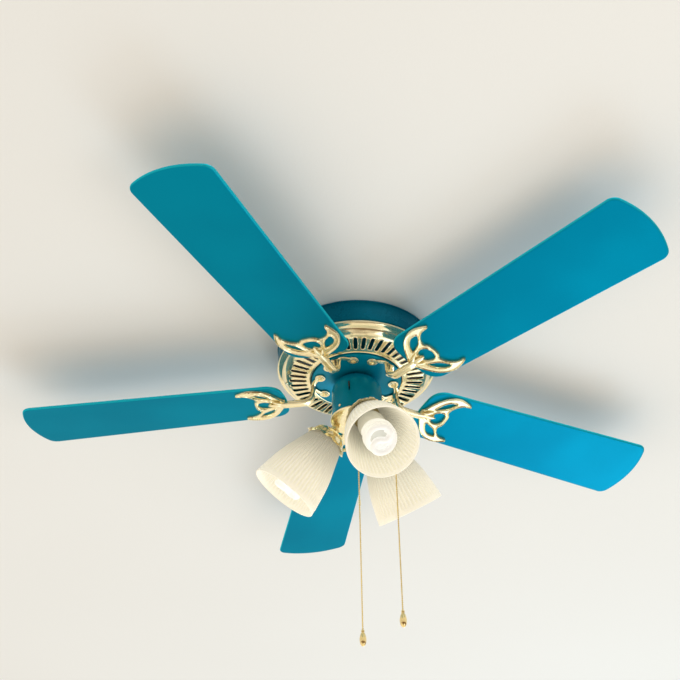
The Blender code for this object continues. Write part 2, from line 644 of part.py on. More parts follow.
def make_fitter():
    """Brass pan that closes the housing: an upstand inside it, a rolled lip, a finial below."""
    lip_top = HOUSING_END_Z - TOUCH
    up_r = HOUSING_IN_R - SLIP
    floor = PAN_BOTTOM_Z + SHEET
    profile = [(0.0, PAN_BOTTOM_Z - 0.0255), (0.006, PAN_BOTTOM_Z - 0.0240), (0.0085, PAN_BOTTOM_Z - 0.0175),
               (0.0050, PAN_BOTTOM_Z - 0.0115), (0.0120, PAN_BOTTOM_Z - 0.0075),
               (0.0140, PAN_BOTTOM_Z - 0.0035), (0.0200, PAN_BOTTOM_Z), (0.0440, PAN_BOTTOM_Z),
               (PAN_LIP_R - 0.0020, PAN_BOTTOM_Z + 0.0018), (PAN_LIP_R, PAN_BOTTOM_Z + 0.0036),
               (PAN_LIP_R - 0.0007, lip_top), (up_r, lip_top), (up_r, lip_top + PAN_UPSTAND),
               (up_r - SHEET, lip_top + PAN_UPSTAND), (up_r - SHEET, floor), (0.0, floor)]
    pan = turned("light_fitter", profile, closed=False)
    cutters = []
    for lamp in range(LAMPS):
        foot = about_z(lamp_angle(lamp)) @ Vector((PIVOT_R - ARM_SET_IN, 0, PAN_BOTTOM_Z))
        up = Vector((0, 0, 0.004))
        cutters.append(rod("hole", ARM_NIPPLE_R + TOUCH, foot - up, foot + up, 12))
    add_object("light_fitter", combine("light_fitter", pan, cutters, "DIFFERENCE"), "brass")


def make_arm_mesh():
    """Short arm: nipple through the pan, collar, and an eye for the knuckle pin at the origin."""
    under = PAN_BOTTOM_Z - TOUCH - PIVOT_Z
    profile = [(0.0, under + NIPPLE_LENGTH), (ARM_NIPPLE_R, under + NIPPLE_LENGTH), (ARM_NIPPLE_R, under),
               (ARM_COLLAR_R, under), (ARM_COLLAR_R, under - 0.0018), (0.0, under - 0.0018)]
    neck = turned("neck", list(reversed(profile)), 12, closed=False)
    neck = moved(neck, Matrix.Translation((-ARM_SET_IN, 0, 0)))
    root_z = under - 0.0009
    outline = arc((0, 0), EYE_R, 160, 400, 8) + [(0.001, root_z), (-ARM_SET_IN - 0.004, root_z)]
    eye = upright(plate("eye", outline, -EYE_HALF_W, EYE_HALF_W), -EYE_HALF_W, EYE_HALF_W)
    arm = combine("lamp_arm", neck, [eye])
    hole = rod("hole", PIN_R + TOUCH, (0, -0.010, 0), (0, 0.010, 0), SCREW_SIDES)
    return combine("lamp_arm", arm, [hole], "DIFFERENCE")


# Pieces of a lamp are made about their own axis: the pivot at the origin, +Z towards the shade's mouth.
CROWN = PIVOT_TO_CROWN
HOLDER_FLAT_R = 0.0205
HOLDER_OUTSIDE = [(0.0255, -0.0190), (0.0303, -0.0135), (0.0332, -0.0065), (0.0400, 0.0)]
SHADE_NECK_R = 0.0280
SHADE_NECK_LENGTH = 0.0060
SHADE_OUTSIDE = [(0.0330, -0.0015), (0.0420, 0.0170), (0.0485, 0.0370), (0.0600, 0.0810), (0.0655, 0.1280)]


def make_holder_mesh():
    """Brass cup with a flared crown, and two cheeks behind it that straddle the arm's eye."""
    outside = [(HOLDER_FLAT_R, HOLDER_BACK)] + [(r, CROWN + z) for r, z in HOLDER_OUTSIDE]
    inside = [(r - 0.8 * HOLDER_WALL, z + 0.8 * HOLDER_WALL) for r, z in reversed(outside[1:])]
    floor = HOLDER_BACK + HOLDER_WALL
    profile = [(0.0, HOLDER_BACK)] + outside + inside + [(HOLDER_FLAT_R - 0.0005, floor), (0.0, floor)]
    holder = turned("holder", profile, 24, closed=False)
    rooted = HOLDER_BACK + HOLDER_WALL / 2
    outline = arc((0, 0), EYE_R, 180, 360, 6) + [(EYE_R, rooted), (-EYE_R, rooted)]
    near = EYE_HALF_W + TOUCH
    cheeks = []
    for low, high in ((near, near + CHEEK_W), (-near - CHEEK_W, -near)):
        cheeks.append(upright(plate("cheek", outline, low, high), low, high))
    holder = combine("lamp_holder", holder, cheeks)
    hole = rod("hole", PIN_R + TOUCH, (0, -0.010, 0), (0, 0.010, 0), SCREW_SIDES)
    return combine("lamp_holder", holder, [hole], "DIFFERENCE")


def make_pin_mesh():
    """Knuckle pin along Y with a head at each end."""
    reach = EYE_HALF_W + CHEEK_W + 2 * TOUCH
    profile = [(0.0, -reach - 0.002), (PIN_HEAD_R, -reach - 0.002), (PIN_HEAD_R, -reach), (PIN_R, -reach),
               (PIN_R, reach), (PIN_HEAD_R, reach), (PIN_HEAD_R, reach + 0.002), (0.0, reach + 0.002)]
    pin = turned("knuckle_pin", profile, SCREW_SIDES, closed=False)
    return moved(pin, Matrix.Rotation(math.pi / 2, 4, "X"))


def make_socket_mesh():
    """Lamp socket: a sleeve with a blind bore for the bulb's cap."""
    back = HOLDER_BACK + HOLDER_WALL + TOUCH
    bore = BULB_CAP_R + SLIP
    floor = back + 0.009
    profile = [(0.0, back), (SOCKET_R, back), (SOCKET_R, SOCKET_END), (bore, SOCKET_END), (bore, floor),
               (0.0, floor)]
    return turned("lamp_socket", profile, SMALL_ROUND, closed=False)


def make_shade_mesh():
    """Bell of frosted glass with an open mouth and a short neck that sits in the holder."""
    neck_top = CROWN - 0.0110
    outer = [(SHADE_NECK_R, neck_top), (SHADE_NECK_R, neck_top + SHADE_NECK_LENGTH)]
    outer += [(r, CROWN + z) for r, z in SHADE_OUTSIDE]
    inner = [(outer[-1][0] - GLASS, outer[-1][1])]
    inner += [(r - GLASS * 0.95, z + GLASS * 0.30) for r, z in reversed(outer[3:-1])]
    inner += [(SHADE_NECK_R - GLASS, outer[1][1]), (SHADE_NECK_R - GLASS, neck_top)]
    return turned("glass_shade", outer + inner, 24)


def make_bulb_meshes():
    """The bulb's screw cap and ballast, and the outer shape of its folded tube."""
    cap = HOLDER_BACK + HOLDER_WALL + TOUCH + 0.009 + TOUCH
    seat = SOCKET_END + 0.0012
    base = [(0.0, cap), (0.5 * BULB_CAP_R, cap), (BULB_CAP_R, cap + 0.004), (BULB_CAP_R, seat),
            (0.0165, seat),
            (0.0235, seat + 0.008), (0.0255, seat + 0.024), (0.0240, BALLAST_END - 0.001), (0.0, BALLAST_END)]
    foot = BALLAST_END + TOUCH
    coil = [(0.0, foot), (0.0180, foot), (0.0270, foot + 0.004), (BULB_COIL_R, foot + 0.012),
            (BULB_COIL_R, BULB_TIP - 0.014), (0.0240, BULB_TIP - 0.006), (0.0120, BULB_TIP), (0.0, BULB_TIP)]
    return (turned("bulb_base", base, SMALL_ROUND, closed=False),
            turned("bulb_coil", coil, SMALL_ROUND, closed=False))


def make_light_kit():
    """Pan, three arms, and on each arm a lamp that tilts about its knuckle pin."""
    make_fitter()
    arm_mesh = make_arm_mesh()
    base_mesh, coil_mesh = make_bulb_meshes()
    lamp_pieces = [("knuckle_pin", make_pin_mesh(), "brass"), ("lamp_holder", make_holder_mesh(), "brass"),
                   ("lamp_socket", make_socket_mesh(), "black"), ("glass_shade", make_shade_mesh(), "glass"),
                   ("bulb_base", base_mesh, "plastic"), ("bulb_coil", coil_mesh, "lamp")]
    downwards = Matrix.Rotation(math.pi - TILT_ANGLE, 4, "Y")
    for lamp in range(LAMPS):
        knuckle = about_z(lamp_angle(lamp)) @ Matrix.Translation((PIVOT_R, 0, PIVOT_Z))
        arm = add_object(f"lamp_arm_{lamp + 1}", arm_mesh, "brass")
        arm.matrix_world = knuckle
        pivot = add_empty(f"lamp_{lamp + 1}_pivot", knuckle @ downwards)
        for name, mesh, finish in lamp_pieces:
            add_object(f"{name}_{lamp + 1}", mesh, finish, pivot)


def main():
    """Build the whole fan."""
    clear_scene()
    rotor_pivot = add_empty("rotor_pivot", Matrix.Identity(4))
    make_ceiling_plate()
    make_canopy()
    make_vent_ring()
    make_motor_core()
    make_rotor(rotor_pivot)
    make_blades(rotor_pivot)
    make_switch_housing()
    make_pull_switch("fan_switch", FAN_CHAIN_DEG)
    make_pull_switch("light_switch", LIGHT_CHAIN_DEG)
    make_small_switch_parts()
    make_chain("fan", FAN_CHAIN_DEG)
    make_chain("light", LIGHT_CHAIN_DEG)
    make_light_kit()


main()
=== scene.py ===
"""Looks of a flush ceiling fan with five blades and a three-lamp light kit.

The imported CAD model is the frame: metres, +Z up, the origin where the rotor's axis meets the
ceiling. Every new piece is worked out in place and rides on the CAD body that it belongs to.
"""
import math

import bpy
import numpy as np
from mathutils import Matrix, Vector
from mathutils.geometry import delaunay_2d_cdt


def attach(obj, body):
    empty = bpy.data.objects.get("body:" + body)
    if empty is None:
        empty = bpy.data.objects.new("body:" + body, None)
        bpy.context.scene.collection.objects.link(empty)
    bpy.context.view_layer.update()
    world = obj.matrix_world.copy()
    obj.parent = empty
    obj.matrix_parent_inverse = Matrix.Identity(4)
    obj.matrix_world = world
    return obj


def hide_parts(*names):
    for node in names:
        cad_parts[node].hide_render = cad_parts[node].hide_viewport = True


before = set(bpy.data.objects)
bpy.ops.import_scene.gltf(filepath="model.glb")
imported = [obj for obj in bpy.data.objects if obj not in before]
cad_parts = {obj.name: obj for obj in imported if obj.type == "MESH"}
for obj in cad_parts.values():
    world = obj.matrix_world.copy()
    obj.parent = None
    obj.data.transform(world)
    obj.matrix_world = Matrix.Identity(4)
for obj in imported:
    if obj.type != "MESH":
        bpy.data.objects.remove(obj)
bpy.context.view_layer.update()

TAU = 2 * math.pi

# ---- sizes shared with the CAD part -----------------------------------------------------
CANOPY_R, CANOPY_H, SHEET, TOUCH = 0.153, 0.047, 0.0012, 0.0003
CANOPY_LIP, CANOPY_BEAD = 0.012, 0.002
RING_TOP_Z = -CANOPY_H - TOUCH
RING_IN_R, SLOT_IN_R, SLOT_OUT_R, RING_OUT_R = 0.0895, 0.098, 0.130, 0.1365
SLOT_COUNT, SLOT_HALF_W = 48, 0.0036
FLANGE_R, FLANGE_Z, FLANGE_THICK = 0.087, -0.078, 0.005
DRUM_R, DRUM_TOP_Z = 0.082, -0.020
SHAFT_HOLE_R = 0.0092
BLADES, FIRST_BLADE, PITCH, BLADE_Z = 5, 28.4, 9.8, -0.105
BLADE_TIP_R, BLADE_ROOT_R, BLADE_THICK = 0.661, 0.137, 0.006
BLADE_HALF_W, BLADE_FLARE = 0.0658, 0.0250
IRON_TOP = -BLADE_THICK / 2 - TOUCH
EAR_U, EAR_V, EAR_R, EAR_THICK = 0.067, 0.026, 0.009, 0.003
EAR_TOP = FLANGE_Z - TOUCH - BLADE_Z
HOUSING_R, HOUSING_TOP_R, HOUSING_TOP_Z, HOUSING_END_Z = 0.048, 0.024, -0.0792, -0.167
HOUSING_SHOULDER = 0.026
REVERSE_DEG, REVERSE_Z, REVERSE_H, REVERSE_W = -107.0, -0.1190, 0.020, 0.0028
CHAIN_OFFSET, FAN_CHAIN_DEG, LIGHT_CHAIN_DEG = 0.068, 90.0, -6.0
SPOUT_Z, SPOUT_END_Z = -0.139, -0.158
CHAIN_TOP_Z, CHAIN_END_Z, CHAIN_D, FOB_H = -0.143, -0.556, 0.0032, 0.030
PAN_BOTTOM_Z, PAN_LIP_R = -0.1725, 0.0512
LAMPS, FIRST_LAMP, LAMP_TILT = 3, -72.4, 38.6
PIVOT_R, PIVOT_Z = 0.04328, -0.18155
EYE_R = 0.006
BALLAST_END = 0.1035                # knuckle to the end of the bulb's white cup


# ---- surfaces ---------------------------------------------------------------------------
def outward(points, faces):
    """Turn all faces over when the volume they enclose, the sum of a.(b x c) / 6, is negative."""
    volume = 0.0
    for group in faces:
        a = points[group[:, 0]]
        for k in range(1, group.shape[1] - 1):
            volume += np.einsum("ij,ij->", a, np.cross(points[group[:, k]], points[group[:, k + 1]]))
    return points, [group[:, ::-1] for group in faces] if volume < 0 else faces


def skin(rings, loop=False):
    """Quads between neighbouring rings of an (n, m, 3) grid. A loop joins the last ring to the
    first; an open run is closed at each end on that ring's middle point."""
    rings = np.asarray(rings, float)
    poles = [rings[0].mean(0), rings[-1].mean(0)]
    if not loop:
        if np.ptp(rings[0], axis=0).max() < 1e-9:
            rings = rings[1:]
        if np.ptp(rings[-1], axis=0).max() < 1e-9:
            rings = rings[:-1]
    n, m = rings.shape[:2]
    index = np.arange(n * m).reshape(n, m)
    rows = np.vstack([index, index[:1]]) if loop else index
    right = np.roll(rows, -1, axis=1)
    faces = [np.stack([rows[:-1], right[:-1], right[1:], rows[1:]], -1).reshape(-1, 4)]
    points = rings.reshape(-1, 3)
    if not loop:
        points = np.vstack([points, poles])
        first, last = np.full(m, n * m), np.full(m, n * m + 1)
        faces.append(np.stack([first, right[0], index[0]], -1))
        faces.append(np.stack([last, index[-1], right[-1]], -1))
    return outward(points, faces)


def turn(profile, sides):
    """Rows of (radius, height) carried round Z: x = r cos a, y = r sin a, z = h."""
    profile = np.asarray(profile, float)
    a = np.arange(sides) * TAU / sides
    r, h = profile[:, :1], profile[:, 1:]
    return np.stack([r * np.cos(a), r * np.sin(a), h + 0 * a], -1)


def turned(profile, sides=64):
    """A solid of revolution whose profile starts and ends on the axis or at flat ends."""
    return skin(turn(profile, sides))


def ring_of(profile, sides=64):
    """A hollow solid of revolution: the profile is a closed loop away from the axis."""
    return skin(turn(profile, sides), loop=True)


def smooth(points, steps=8, closed=False):
    """Catmull-Rom curve through rows of coordinates: a cubic between each pair of points whose
    end slopes are half the chord between the neighbours."""
    p = np.asarray(points, float)
    if closed:
        q = np.vstack([p[-1:], p, p[:2]])
    else:
        q = np.vstack([2 * p[:1] - p[1:2], p, 2 * p[-1:] - p[-2:-1]])
    a, b, c, d = q[:-3], q[1:-2], q[2:-1], q[3:]
    t = (np.arange(steps) / steps)[None, :, None]
    a, b, c, d = (v[:, None, :] for v in (a, b, c, d))
    curve = 0.5 * (2 * b + (c - a) * t + (2 * a - 5 * b + 4 * c - d) * t ** 2
                   + (3 * b - a - 3 * c + d) * t ** 3)
    curve = curve.reshape(-1, p.shape[1])
    return curve if closed else np.vstack([curve, p[-1:]])


def arc(cx, cy, radius, start, end, steps):
    """Points at even angles, in degrees, on a circle's arc, both ends included."""
    a = np.radians(np.linspace(start, end, steps + 1))
    return np.stack([cx + radius * np.cos(a), cy + radius * np.sin(a)], -1)


def tube(path, radii, sides):
    """Circles of the given radii square to a path: the side vector is carried from point to
    point by taking away its part along the path."""
    path = np.asarray(path, float)
    radii = np.broadcast_to(np.asarray(radii, float), (len(path),))
    ahead = np.gradient(path, axis=0)
    ahead /= np.maximum(np.linalg.norm(ahead, axis=1), 1e-12)[:, None]
    side = np.cross(ahead[0], [0.31, 0.17, 0.93])
    sides_at = np.empty_like(path)
    for i, direction in enumerate(ahead):
        side = side - direction * (side @ direction)
        side = side / np.linalg.norm(side)
        sides_at[i] = side
    third = np.cross(ahead, sides_at)
    a = np.arange(sides) * TAU / sides
    wheel = sides_at[:, None] * np.cos(a)[:, None] + third[:, None] * np.sin(a)[:, None]
    return path[:, None] + wheel * radii[:, None, None]


def bar(path, half_w, half_h, side=(0, 1, 0), sides=20, squareness=1.0):
    """A bar along a path: each section is a superellipse, where cosine and sine are raised to the
    squareness. At one it is an ellipse, below one a rounded rectangle."""
    path, side = np.asarray(path, float), np.asarray(side, float)
    ahead = np.gradient(path, axis=0)
    ahead /= np.linalg.norm(ahead, axis=1)[:, None]
    up = np.cross(ahead, side)
    a = (np.arange(sides) + 0.5) * TAU / sides
    c = np.sign(np.cos(a)) * np.abs(np.cos(a)) ** squareness
    s = np.sign(np.sin(a)) * np.abs(np.sin(a)) ** squareness
    w = np.broadcast_to(np.asarray(half_w, float), (len(path),))[:, None, None]
    h = np.broadcast_to(np.asarray(half_h, float), (len(path),))[:, None, None]
    return skin(path[:, None] + side * w * c[:, None] + up[:, None] * h * s[:, None])


def slab(outline, low, high, edge, steps=4):
    """A flat plate with rounded edges: the outline drawn inwards by edge (1 - cos a) while its
    height moves by edge (1 - sin a), with one more flat ring inside each face."""
    p = np.asarray(outline, float)
    if np.sum(p[:, 0] * np.roll(p[:, 1], -1) - p[:, 1] * np.roll(p[:, 0], -1)) < 0:
        p = p[::-1]
    along = np.roll(p, -1, axis=0) - np.roll(p, 1, axis=0)
    along /= np.linalg.norm(along, axis=1)[:, None]
    inward = np.stack([-along[:, 1], along[:, 0]], -1)
    a = np.radians(np.linspace(0, 90, steps + 1))
    inset = np.concatenate([[edge * 1.5], edge * (1 - np.sin(a))])
    lift = np.concatenate([[0.0], edge * (1 - np.cos(a))])
    insets = np.concatenate([inset, inset[::-1]])
    heights = np.concatenate([low + lift, high - lift[::-1]])
    flat = p[None] + inward[None] * insets[:, None, None]
    rings = np.concatenate([flat, np.broadcast_to(heights[:, None, None], flat.shape[:2] + (1,))], -1)
    n, m = rings.shape[:2]
    index = np.arange(n * m).reshape(n, m)
    right = np.roll(index, -1, axis=1)
    quads = np.stack([index[:-1], right[:-1], right[1:], index[1:]], -1).reshape(-1, 4)
    return outward(rings.reshape(-1, 3), [quads, index[:1, ::-1], index[-1:]])


def inside(points, loops):
    """Even-odd rule: a point is inside when a ray to the right crosses the loops' edges an odd
    number of times."""
    crossings = np.zeros(len(points), int)
    x, y = points[:, :1], points[:, 1:]
    for loop in loops:
        x0, y0 = loop.T
        x1, y1 = np.roll(loop, -1, axis=0).T
        spans = (y0 > y) != (y1 > y)
        rise = np.where(y1 == y0, 1.0, y1 - y0)
        crossings += (spans & (x < x0 + (y - y0) * (x1 - x0) / rise)).sum(1)
    return crossings % 2 == 1


def edge_distance(points, loops):
    """Least distance from each point to the loops' edges."""
    best = np.full(len(points), np.inf)
    for loop in loops:
        a, b = loop, np.roll(loop, -1, axis=0)
        ab = b - a
        t = np.clip(((points[:, None] - a) * ab).sum(-1) / np.maximum((ab ** 2).sum(-1), 1e-18), 0, 1)
        gap = points[:, None] - a - ab * t[..., None]
        best = np.minimum(best, np.sqrt((gap ** 2).sum(-1)).min(1))
    return best


def casting(loops, top, wall, depth, roll, pitch):
    """A pierced plate, flat above. Its under face sinks with the distance d to the nearest edge, by
    wall + depth (0.35 S + 0.65 B): S an S-curve from the edge to roll / 2, B a bell at d = roll."""
    low, high = loops[0].min(0), loops[0].max(0)
    rows = np.arange(low[1], high[1], pitch * 0.866)
    columns = np.arange(low[0], high[0], pitch)
    grid = np.stack(np.meshgrid(columns, rows), -1)
    grid[1::2, :, 0] += pitch / 2
    grid = grid.reshape(-1, 2)
    grid = grid[inside(grid, loops) & (edge_distance(grid, loops) > 0.5 * pitch)]
    edges, start = [], len(grid)
    for loop in loops:
        ids = start + np.arange(len(loop))
        edges += np.stack([ids, np.roll(ids, -1)], -1).tolist()
        start += len(loop)
    everything = np.vstack([grid] + list(loops))
    flat, _, triangles, *_ = delaunay_2d_cdt([Vector(p) for p in everything], edges, [], 0, 1e-7)
    flat = np.array([p[:] for p in flat])
    triangles = np.array([t for t in triangles if len(t) == 3])
    triangles = triangles[inside(flat[triangles].mean(1), loops)]
    first, second, third = (flat[triangles[:, k]] for k in range(3))
    area = np.cross(second - first, third - first)
    triangles = np.where(area[:, None] < 0, triangles[:, ::-1], triangles)
    d = edge_distance(flat, loops)
    d[d < 1e-6] = 0
    s = np.clip(2 * d / roll, 0, 1)
    sink = wall + depth * (0.35 * s * s * (3 - 2 * s) + 0.65 * np.exp(-((d - roll) / (0.62 * roll)) ** 2))
    count = len(flat)
    points = np.vstack([np.c_[flat, np.full(count, top)], np.c_[flat, top - sink]])
    directed = np.concatenate([triangles[:, [0, 1]], triangles[:, [1, 2]], triangles[:, [2, 0]]])
    key, back = directed @ [count, 1], directed[:, ::-1] @ [count, 1]
    rim = directed[~np.isin(key, back)]
    wall_faces = np.stack([rim[:, 0] + count, rim[:, 1] + count, rim[:, 1], rim[:, 0]], -1)
    return points, [triangles, triangles[:, ::-1] + count, wall_faces]


def placed(surface, matrix):
    """The same surface with its points moved by a 4 x 4 matrix."""
    points, faces = surface
    m = np.array(matrix)
    return points @ m[:3, :3].T + m[:3, 3], faces


def all_placed(surfaces, matrix):
    return [placed(surface, matrix) for surface in surfaces]


def upright(surface):
    """A plate lying in XY stood up on X: its Y becomes height and its thickness runs along Y."""
    points, faces = surface
    return outward(np.stack([points[:, 0], points[:, 2], points[:, 1]], -1), faces)


def about(axis, degrees):
    return Matrix.Rotation(math.radians(degrees), 4, axis)


def move(x=0.0, y=0.0, z=0.0):
    return Matrix.Translation((x, y, z))


SHARED_SLOTS = {"shaded_canopy_enamel": "teal_enamel", "warm_brass": "polished_brass"}


def add_piece(name, surfaces, finish, body, replaces=(), slot=None, sharp=32.0, tags=None):
    """Join surfaces into one mesh and put it on its body. 'tags' are named numbers for each point.
    A slot name is worked out, the finish's own name unless another is given or shared, but nothing
    uses it. Blender ends the finish's name in a number, because the frame's materials have the same names."""
    own_name = finish.name.split(".")[0]
    slot = slot or SHARED_SLOTS.get(own_name, own_name)
    starts = np.cumsum([0] + [len(points) for points, _ in surfaces])
    points = np.vstack([points for points, _ in surfaces]).astype(np.float32)
    faces = [group + start for (_, groups), start in zip(surfaces, starts) for group in groups]
    corners = np.concatenate([group.ravel() for group in faces]).astype(np.int32)
    sizes = np.concatenate([np.full(len(group), group.shape[1]) for group in faces])
    mesh = bpy.data.meshes.new(name)
    mesh.vertices.add(len(points))
    mesh.vertices.foreach_set("co", points.ravel())
    mesh.loops.add(len(corners))
    mesh.loops.foreach_set("vertex_index", corners)
    mesh.polygons.add(len(sizes))
    mesh.polygons.foreach_set("loop_start", (np.cumsum(sizes) - sizes).astype(np.int32))
    mesh.update(calc_edges=True)
    mesh.validate()
    mesh.shade_smooth()
    mesh.set_sharp_from_angle(angle=math.radians(sharp))
    for tag, values in (tags or {}).items():
        mesh.attributes.new(tag, "FLOAT", "POINT").data.foreach_set("value", values.astype(np.float32))
    mesh.materials.append(finish)
    obj = bpy.data.objects.new(name, mesh)
    bpy.context.scene.collection.objects.link(obj)
    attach(obj, body)
    if replaces:
        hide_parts(*replaces)
    return obj


# ---- finishes ---------------------------------------------------------------------------
class Value:
    """A shader number: + and * on it add Math nodes."""

    def __init__(self, shop, socket):
        self.shop, self.socket = shop, socket

    def __add__(self, other):
        return self.shop.maths("ADD", self, other)

    def __mul__(self, other):
        return self.shop.maths("MULTIPLY", self, other)

    __radd__, __rmul__ = __add__, __mul__


class Shop:
    """One material's node tree, with one method that makes any node."""

    def __init__(self, tree):
        self.tree = tree
        tree.nodes.clear()

    def node(self, kind, settings=None, inputs=None, out=0):
        """A node of a type, with its settings first, then its sockets' values or links."""
        made = self.tree.nodes.new(kind)
        for name, value in (settings or {}).items():
            setattr(made, name, value)
        for name, value in (inputs or {}).items():
            if isinstance(value, Value):
                self.tree.links.new(value.socket, made.inputs[name])
            else:
                made.inputs[name].default_value = value
        return Value(self, made.outputs[out]) if len(made.outputs) else made

    def maths(self, operation, first, second):
        return self.node("ShaderNodeMath", {"operation": operation}, {0: first, 1: second})

    def place(self, scale=(1, 1, 1)):
        """Object coordinates, stretched by a Mapping node."""
        where = self.node("ShaderNodeTexCoord", out="Object")
        return self.node("ShaderNodeMapping", None, {"Vector": where, "Scale": scale})

    def noise(self, where, scale, detail=3.0, roughness=0.5):
        return self.node("ShaderNodeTexNoise", None, {"Vector": where, "Scale": scale, "Detail": detail,
                                                      "Roughness": roughness})

    def fade(self, value, low, high):
        """Zero below low, one above high, an S between them."""
        return self.node("ShaderNodeMapRange", {"interpolation_type": "SMOOTHSTEP"},
                         {"Value": value, "From Min": low, "From Max": high})

    def blend(self, factor, first, second):
        """Mix of two colours."""
        return self.node("ShaderNodeMix", {"data_type": "RGBA"}, {0: factor, 6: first, 7: second}, out=2)

    def bump(self, height, distance):
        return self.node("ShaderNodeBump", None, {"Height": height, "Distance": distance})

    def principled(self, **inputs):
        names = {key.replace("_", " "): value for key, value in inputs.items()}
        return self.node("ShaderNodeBsdfPrincipled", None, names)

    def finish(self, shader):
        self.node("ShaderNodeOutputMaterial", None, {"Surface": shader})


def rgb(red, green, blue):
    return (red, green, blue, 1.0)


def new_finish(name):
    material = bpy.data.materials.new(name)
    material.use_nodes = True
    return material, Shop(material.node_tree)


def painted(name, deep, light, edge, rough, flake, coat, shine, peel, peel_depth):
    """Paint on wood or metal: slow drifts of tone, the fine peel of a sprayed coat, a share of
    metal flake, a few duller patches where it has been wiped, and a painted highlight: a paler colour on the
    edges of meshes tagged for it, standing in for the light those edges catch."""
    material, shop = new_finish(name)
    where = shop.place()
    drift = shop.noise(where, 4.0, 2.0)
    wiped = shop.fade(shop.noise(where, 22.0, 4.0), 0.45, 0.75)
    fine = shop.noise(where, peel, 3.0, 0.6)
    tone = shop.fade(drift * 0.8 + fine * 0.2, 0.35, 0.65)
    # painted highlight: the tagged edges take the paler edge colour in place of the light they would catch
    edge_highlight = shop.node("ShaderNodeAttribute", {"attribute_name": "edge_highlight"}, out="Fac")
    colour = shop.blend(edge_highlight, shop.blend(tone, deep, light), edge)
    shader = shop.principled(Base_Color=colour, Roughness=rough + wiped * 0.02 + fine * 0.02,
                             Metallic=flake, Coat_Weight=coat, Coat_Roughness=0.12,
                             Specular_IOR_Level=shine, Specular_Tint=rgb(0.0, 0.85, 1.0),
                             Normal=shop.bump(fine, peel_depth))
    shop.finish(shader)
    return material


def metal(name, bright, dull, rough, smear=0.08, grain=(1, 1, 1), tarnish=(0.55, 0.85), purity=1.0):
    """Metal: fingered, duller and darker patches over the polish, and a fine directional grain.
    A purity below one leaves a little plain colour, as a lacquered plating has."""
    material, shop = new_finish(name)
    patches = shop.fade(shop.noise(shop.place(), 38.0, 5.0, 0.6), *tarnish)
    hair = shop.noise(shop.place(grain), 900.0, 2.0)
    shader = shop.principled(Base_Color=shop.blend(patches, bright, dull), Metallic=purity,
                             Roughness=rough + patches * smear + hair * 0.04,
                             Normal=shop.bump(hair, 0.00002))
    shop.finish(shader)
    return material


def moulded(name, colour, shade, rough):
    """Moulded plastic: fine pits from the tool, a faint mottling and rubbed spots."""
    material, shop = new_finish(name)
    where = shop.place()
    pits = shop.noise(where, 700.0, 4.0, 0.7)
    mottle = shop.noise(where, 60.0, 3.0)
    shader = shop.principled(Base_Color=shop.blend(mottle, colour, shade),
                             Roughness=rough + shop.fade(mottle, 0.4, 0.8) * 0.1,
                             Normal=shop.bump(pits, 0.00003))
    shop.finish(shader)
    return material


def frosted_glass():
    """Satin-etched cream glass with some real translucency: its colour is painted greyer at the crown and
    lighter and warmer towards the mouth, and it is given a painted glow, both standing in for the bulb's
    light through it; the valleys between the ribs are painted darker as shade.
    """
    material, shop = new_finish("frosted_glass")
    along = shop.node("ShaderNodeAttribute", {"attribute_name": "along"}, out="Fac")
    groove_shade = shop.node("ShaderNodeAttribute", {"attribute_name": "groove_shade"}, out="Fac")
    grain = shop.noise(shop.place(), 700.0, 2.0)
    cloud = shop.noise(shop.place(), 14.0, 2.0)
    # painted light: the share of bulb light, low at the crown and high towards the mouth
    painted_bulb_light = shop.fade(along + cloud * 0.25, 0.15, 0.95)
    colour = shop.blend(painted_bulb_light, rgb(0.74, 0.74, 0.68), rgb(0.92, 0.91, 0.85))
    # painted shade in the valleys between the ribs
    colour = shop.blend(groove_shade * 0.45, colour, rgb(0.56, 0.55, 0.46))
    # painted glow: emission standing in for the bulb's light coming through the glass
    glow = shop.blend(painted_bulb_light, rgb(0.11, 0.11, 0.10), rgb(0.42, 0.395, 0.33))
    body = shop.principled(Base_Color=colour, Roughness=0.38 + grain * 0.1, Coat_Weight=0.25,
                           Coat_Roughness=0.3, Emission_Color=glow, Emission_Strength=0.75,
                           Normal=shop.bump(grain, 0.00001))
    through = shop.node("ShaderNodeBsdfTranslucent", None, {"Color": rgb(0.90, 0.86, 0.76)})
    shop.finish(shop.node("ShaderNodeMixShader", None, {0: 0.35, 1: body, 2: through}))
    return material


def lit_tube():
    """Phosphor-coated tube that glows: its light is even, a little cooler where the coat is thin."""
    material, shop = new_finish("lamp_tube")
    coat = shop.noise(shop.place(), 90.0, 2.0)
    glow = shop.blend(coat, rgb(1.0, 0.97, 0.90), rgb(0.95, 0.98, 1.0))
    shop.finish(shop.principled(Base_Color=rgb(0.92, 0.93, 0.92), Roughness=0.2 + coat * 0.08,
                                Emission_Color=glow, Emission_Strength=0.24))
    return material


def striped_metal(name, bright, dull, rough, axis_scale, depth):
    """Stacked sheets or laid wire: a wave across the layers darkens and dents the metal."""
    material, shop = new_finish(name)
    wave = shop.node("ShaderNodeTexWave", {"bands_direction": "Z"},
                     {"Vector": shop.place(), "Scale": axis_scale, "Distortion": 0.6, "Detail": 1.0},
                     out="Fac")
    speck = shop.noise(shop.place(), 300.0, 3.0)
    shader = shop.principled(Base_Color=shop.blend(wave * 0.7 + speck * 0.3, dull, bright), Metallic=1.0,
                             Roughness=rough + speck * 0.15, Normal=shop.bump(wave, depth))
    shop.finish(shader)
    return material
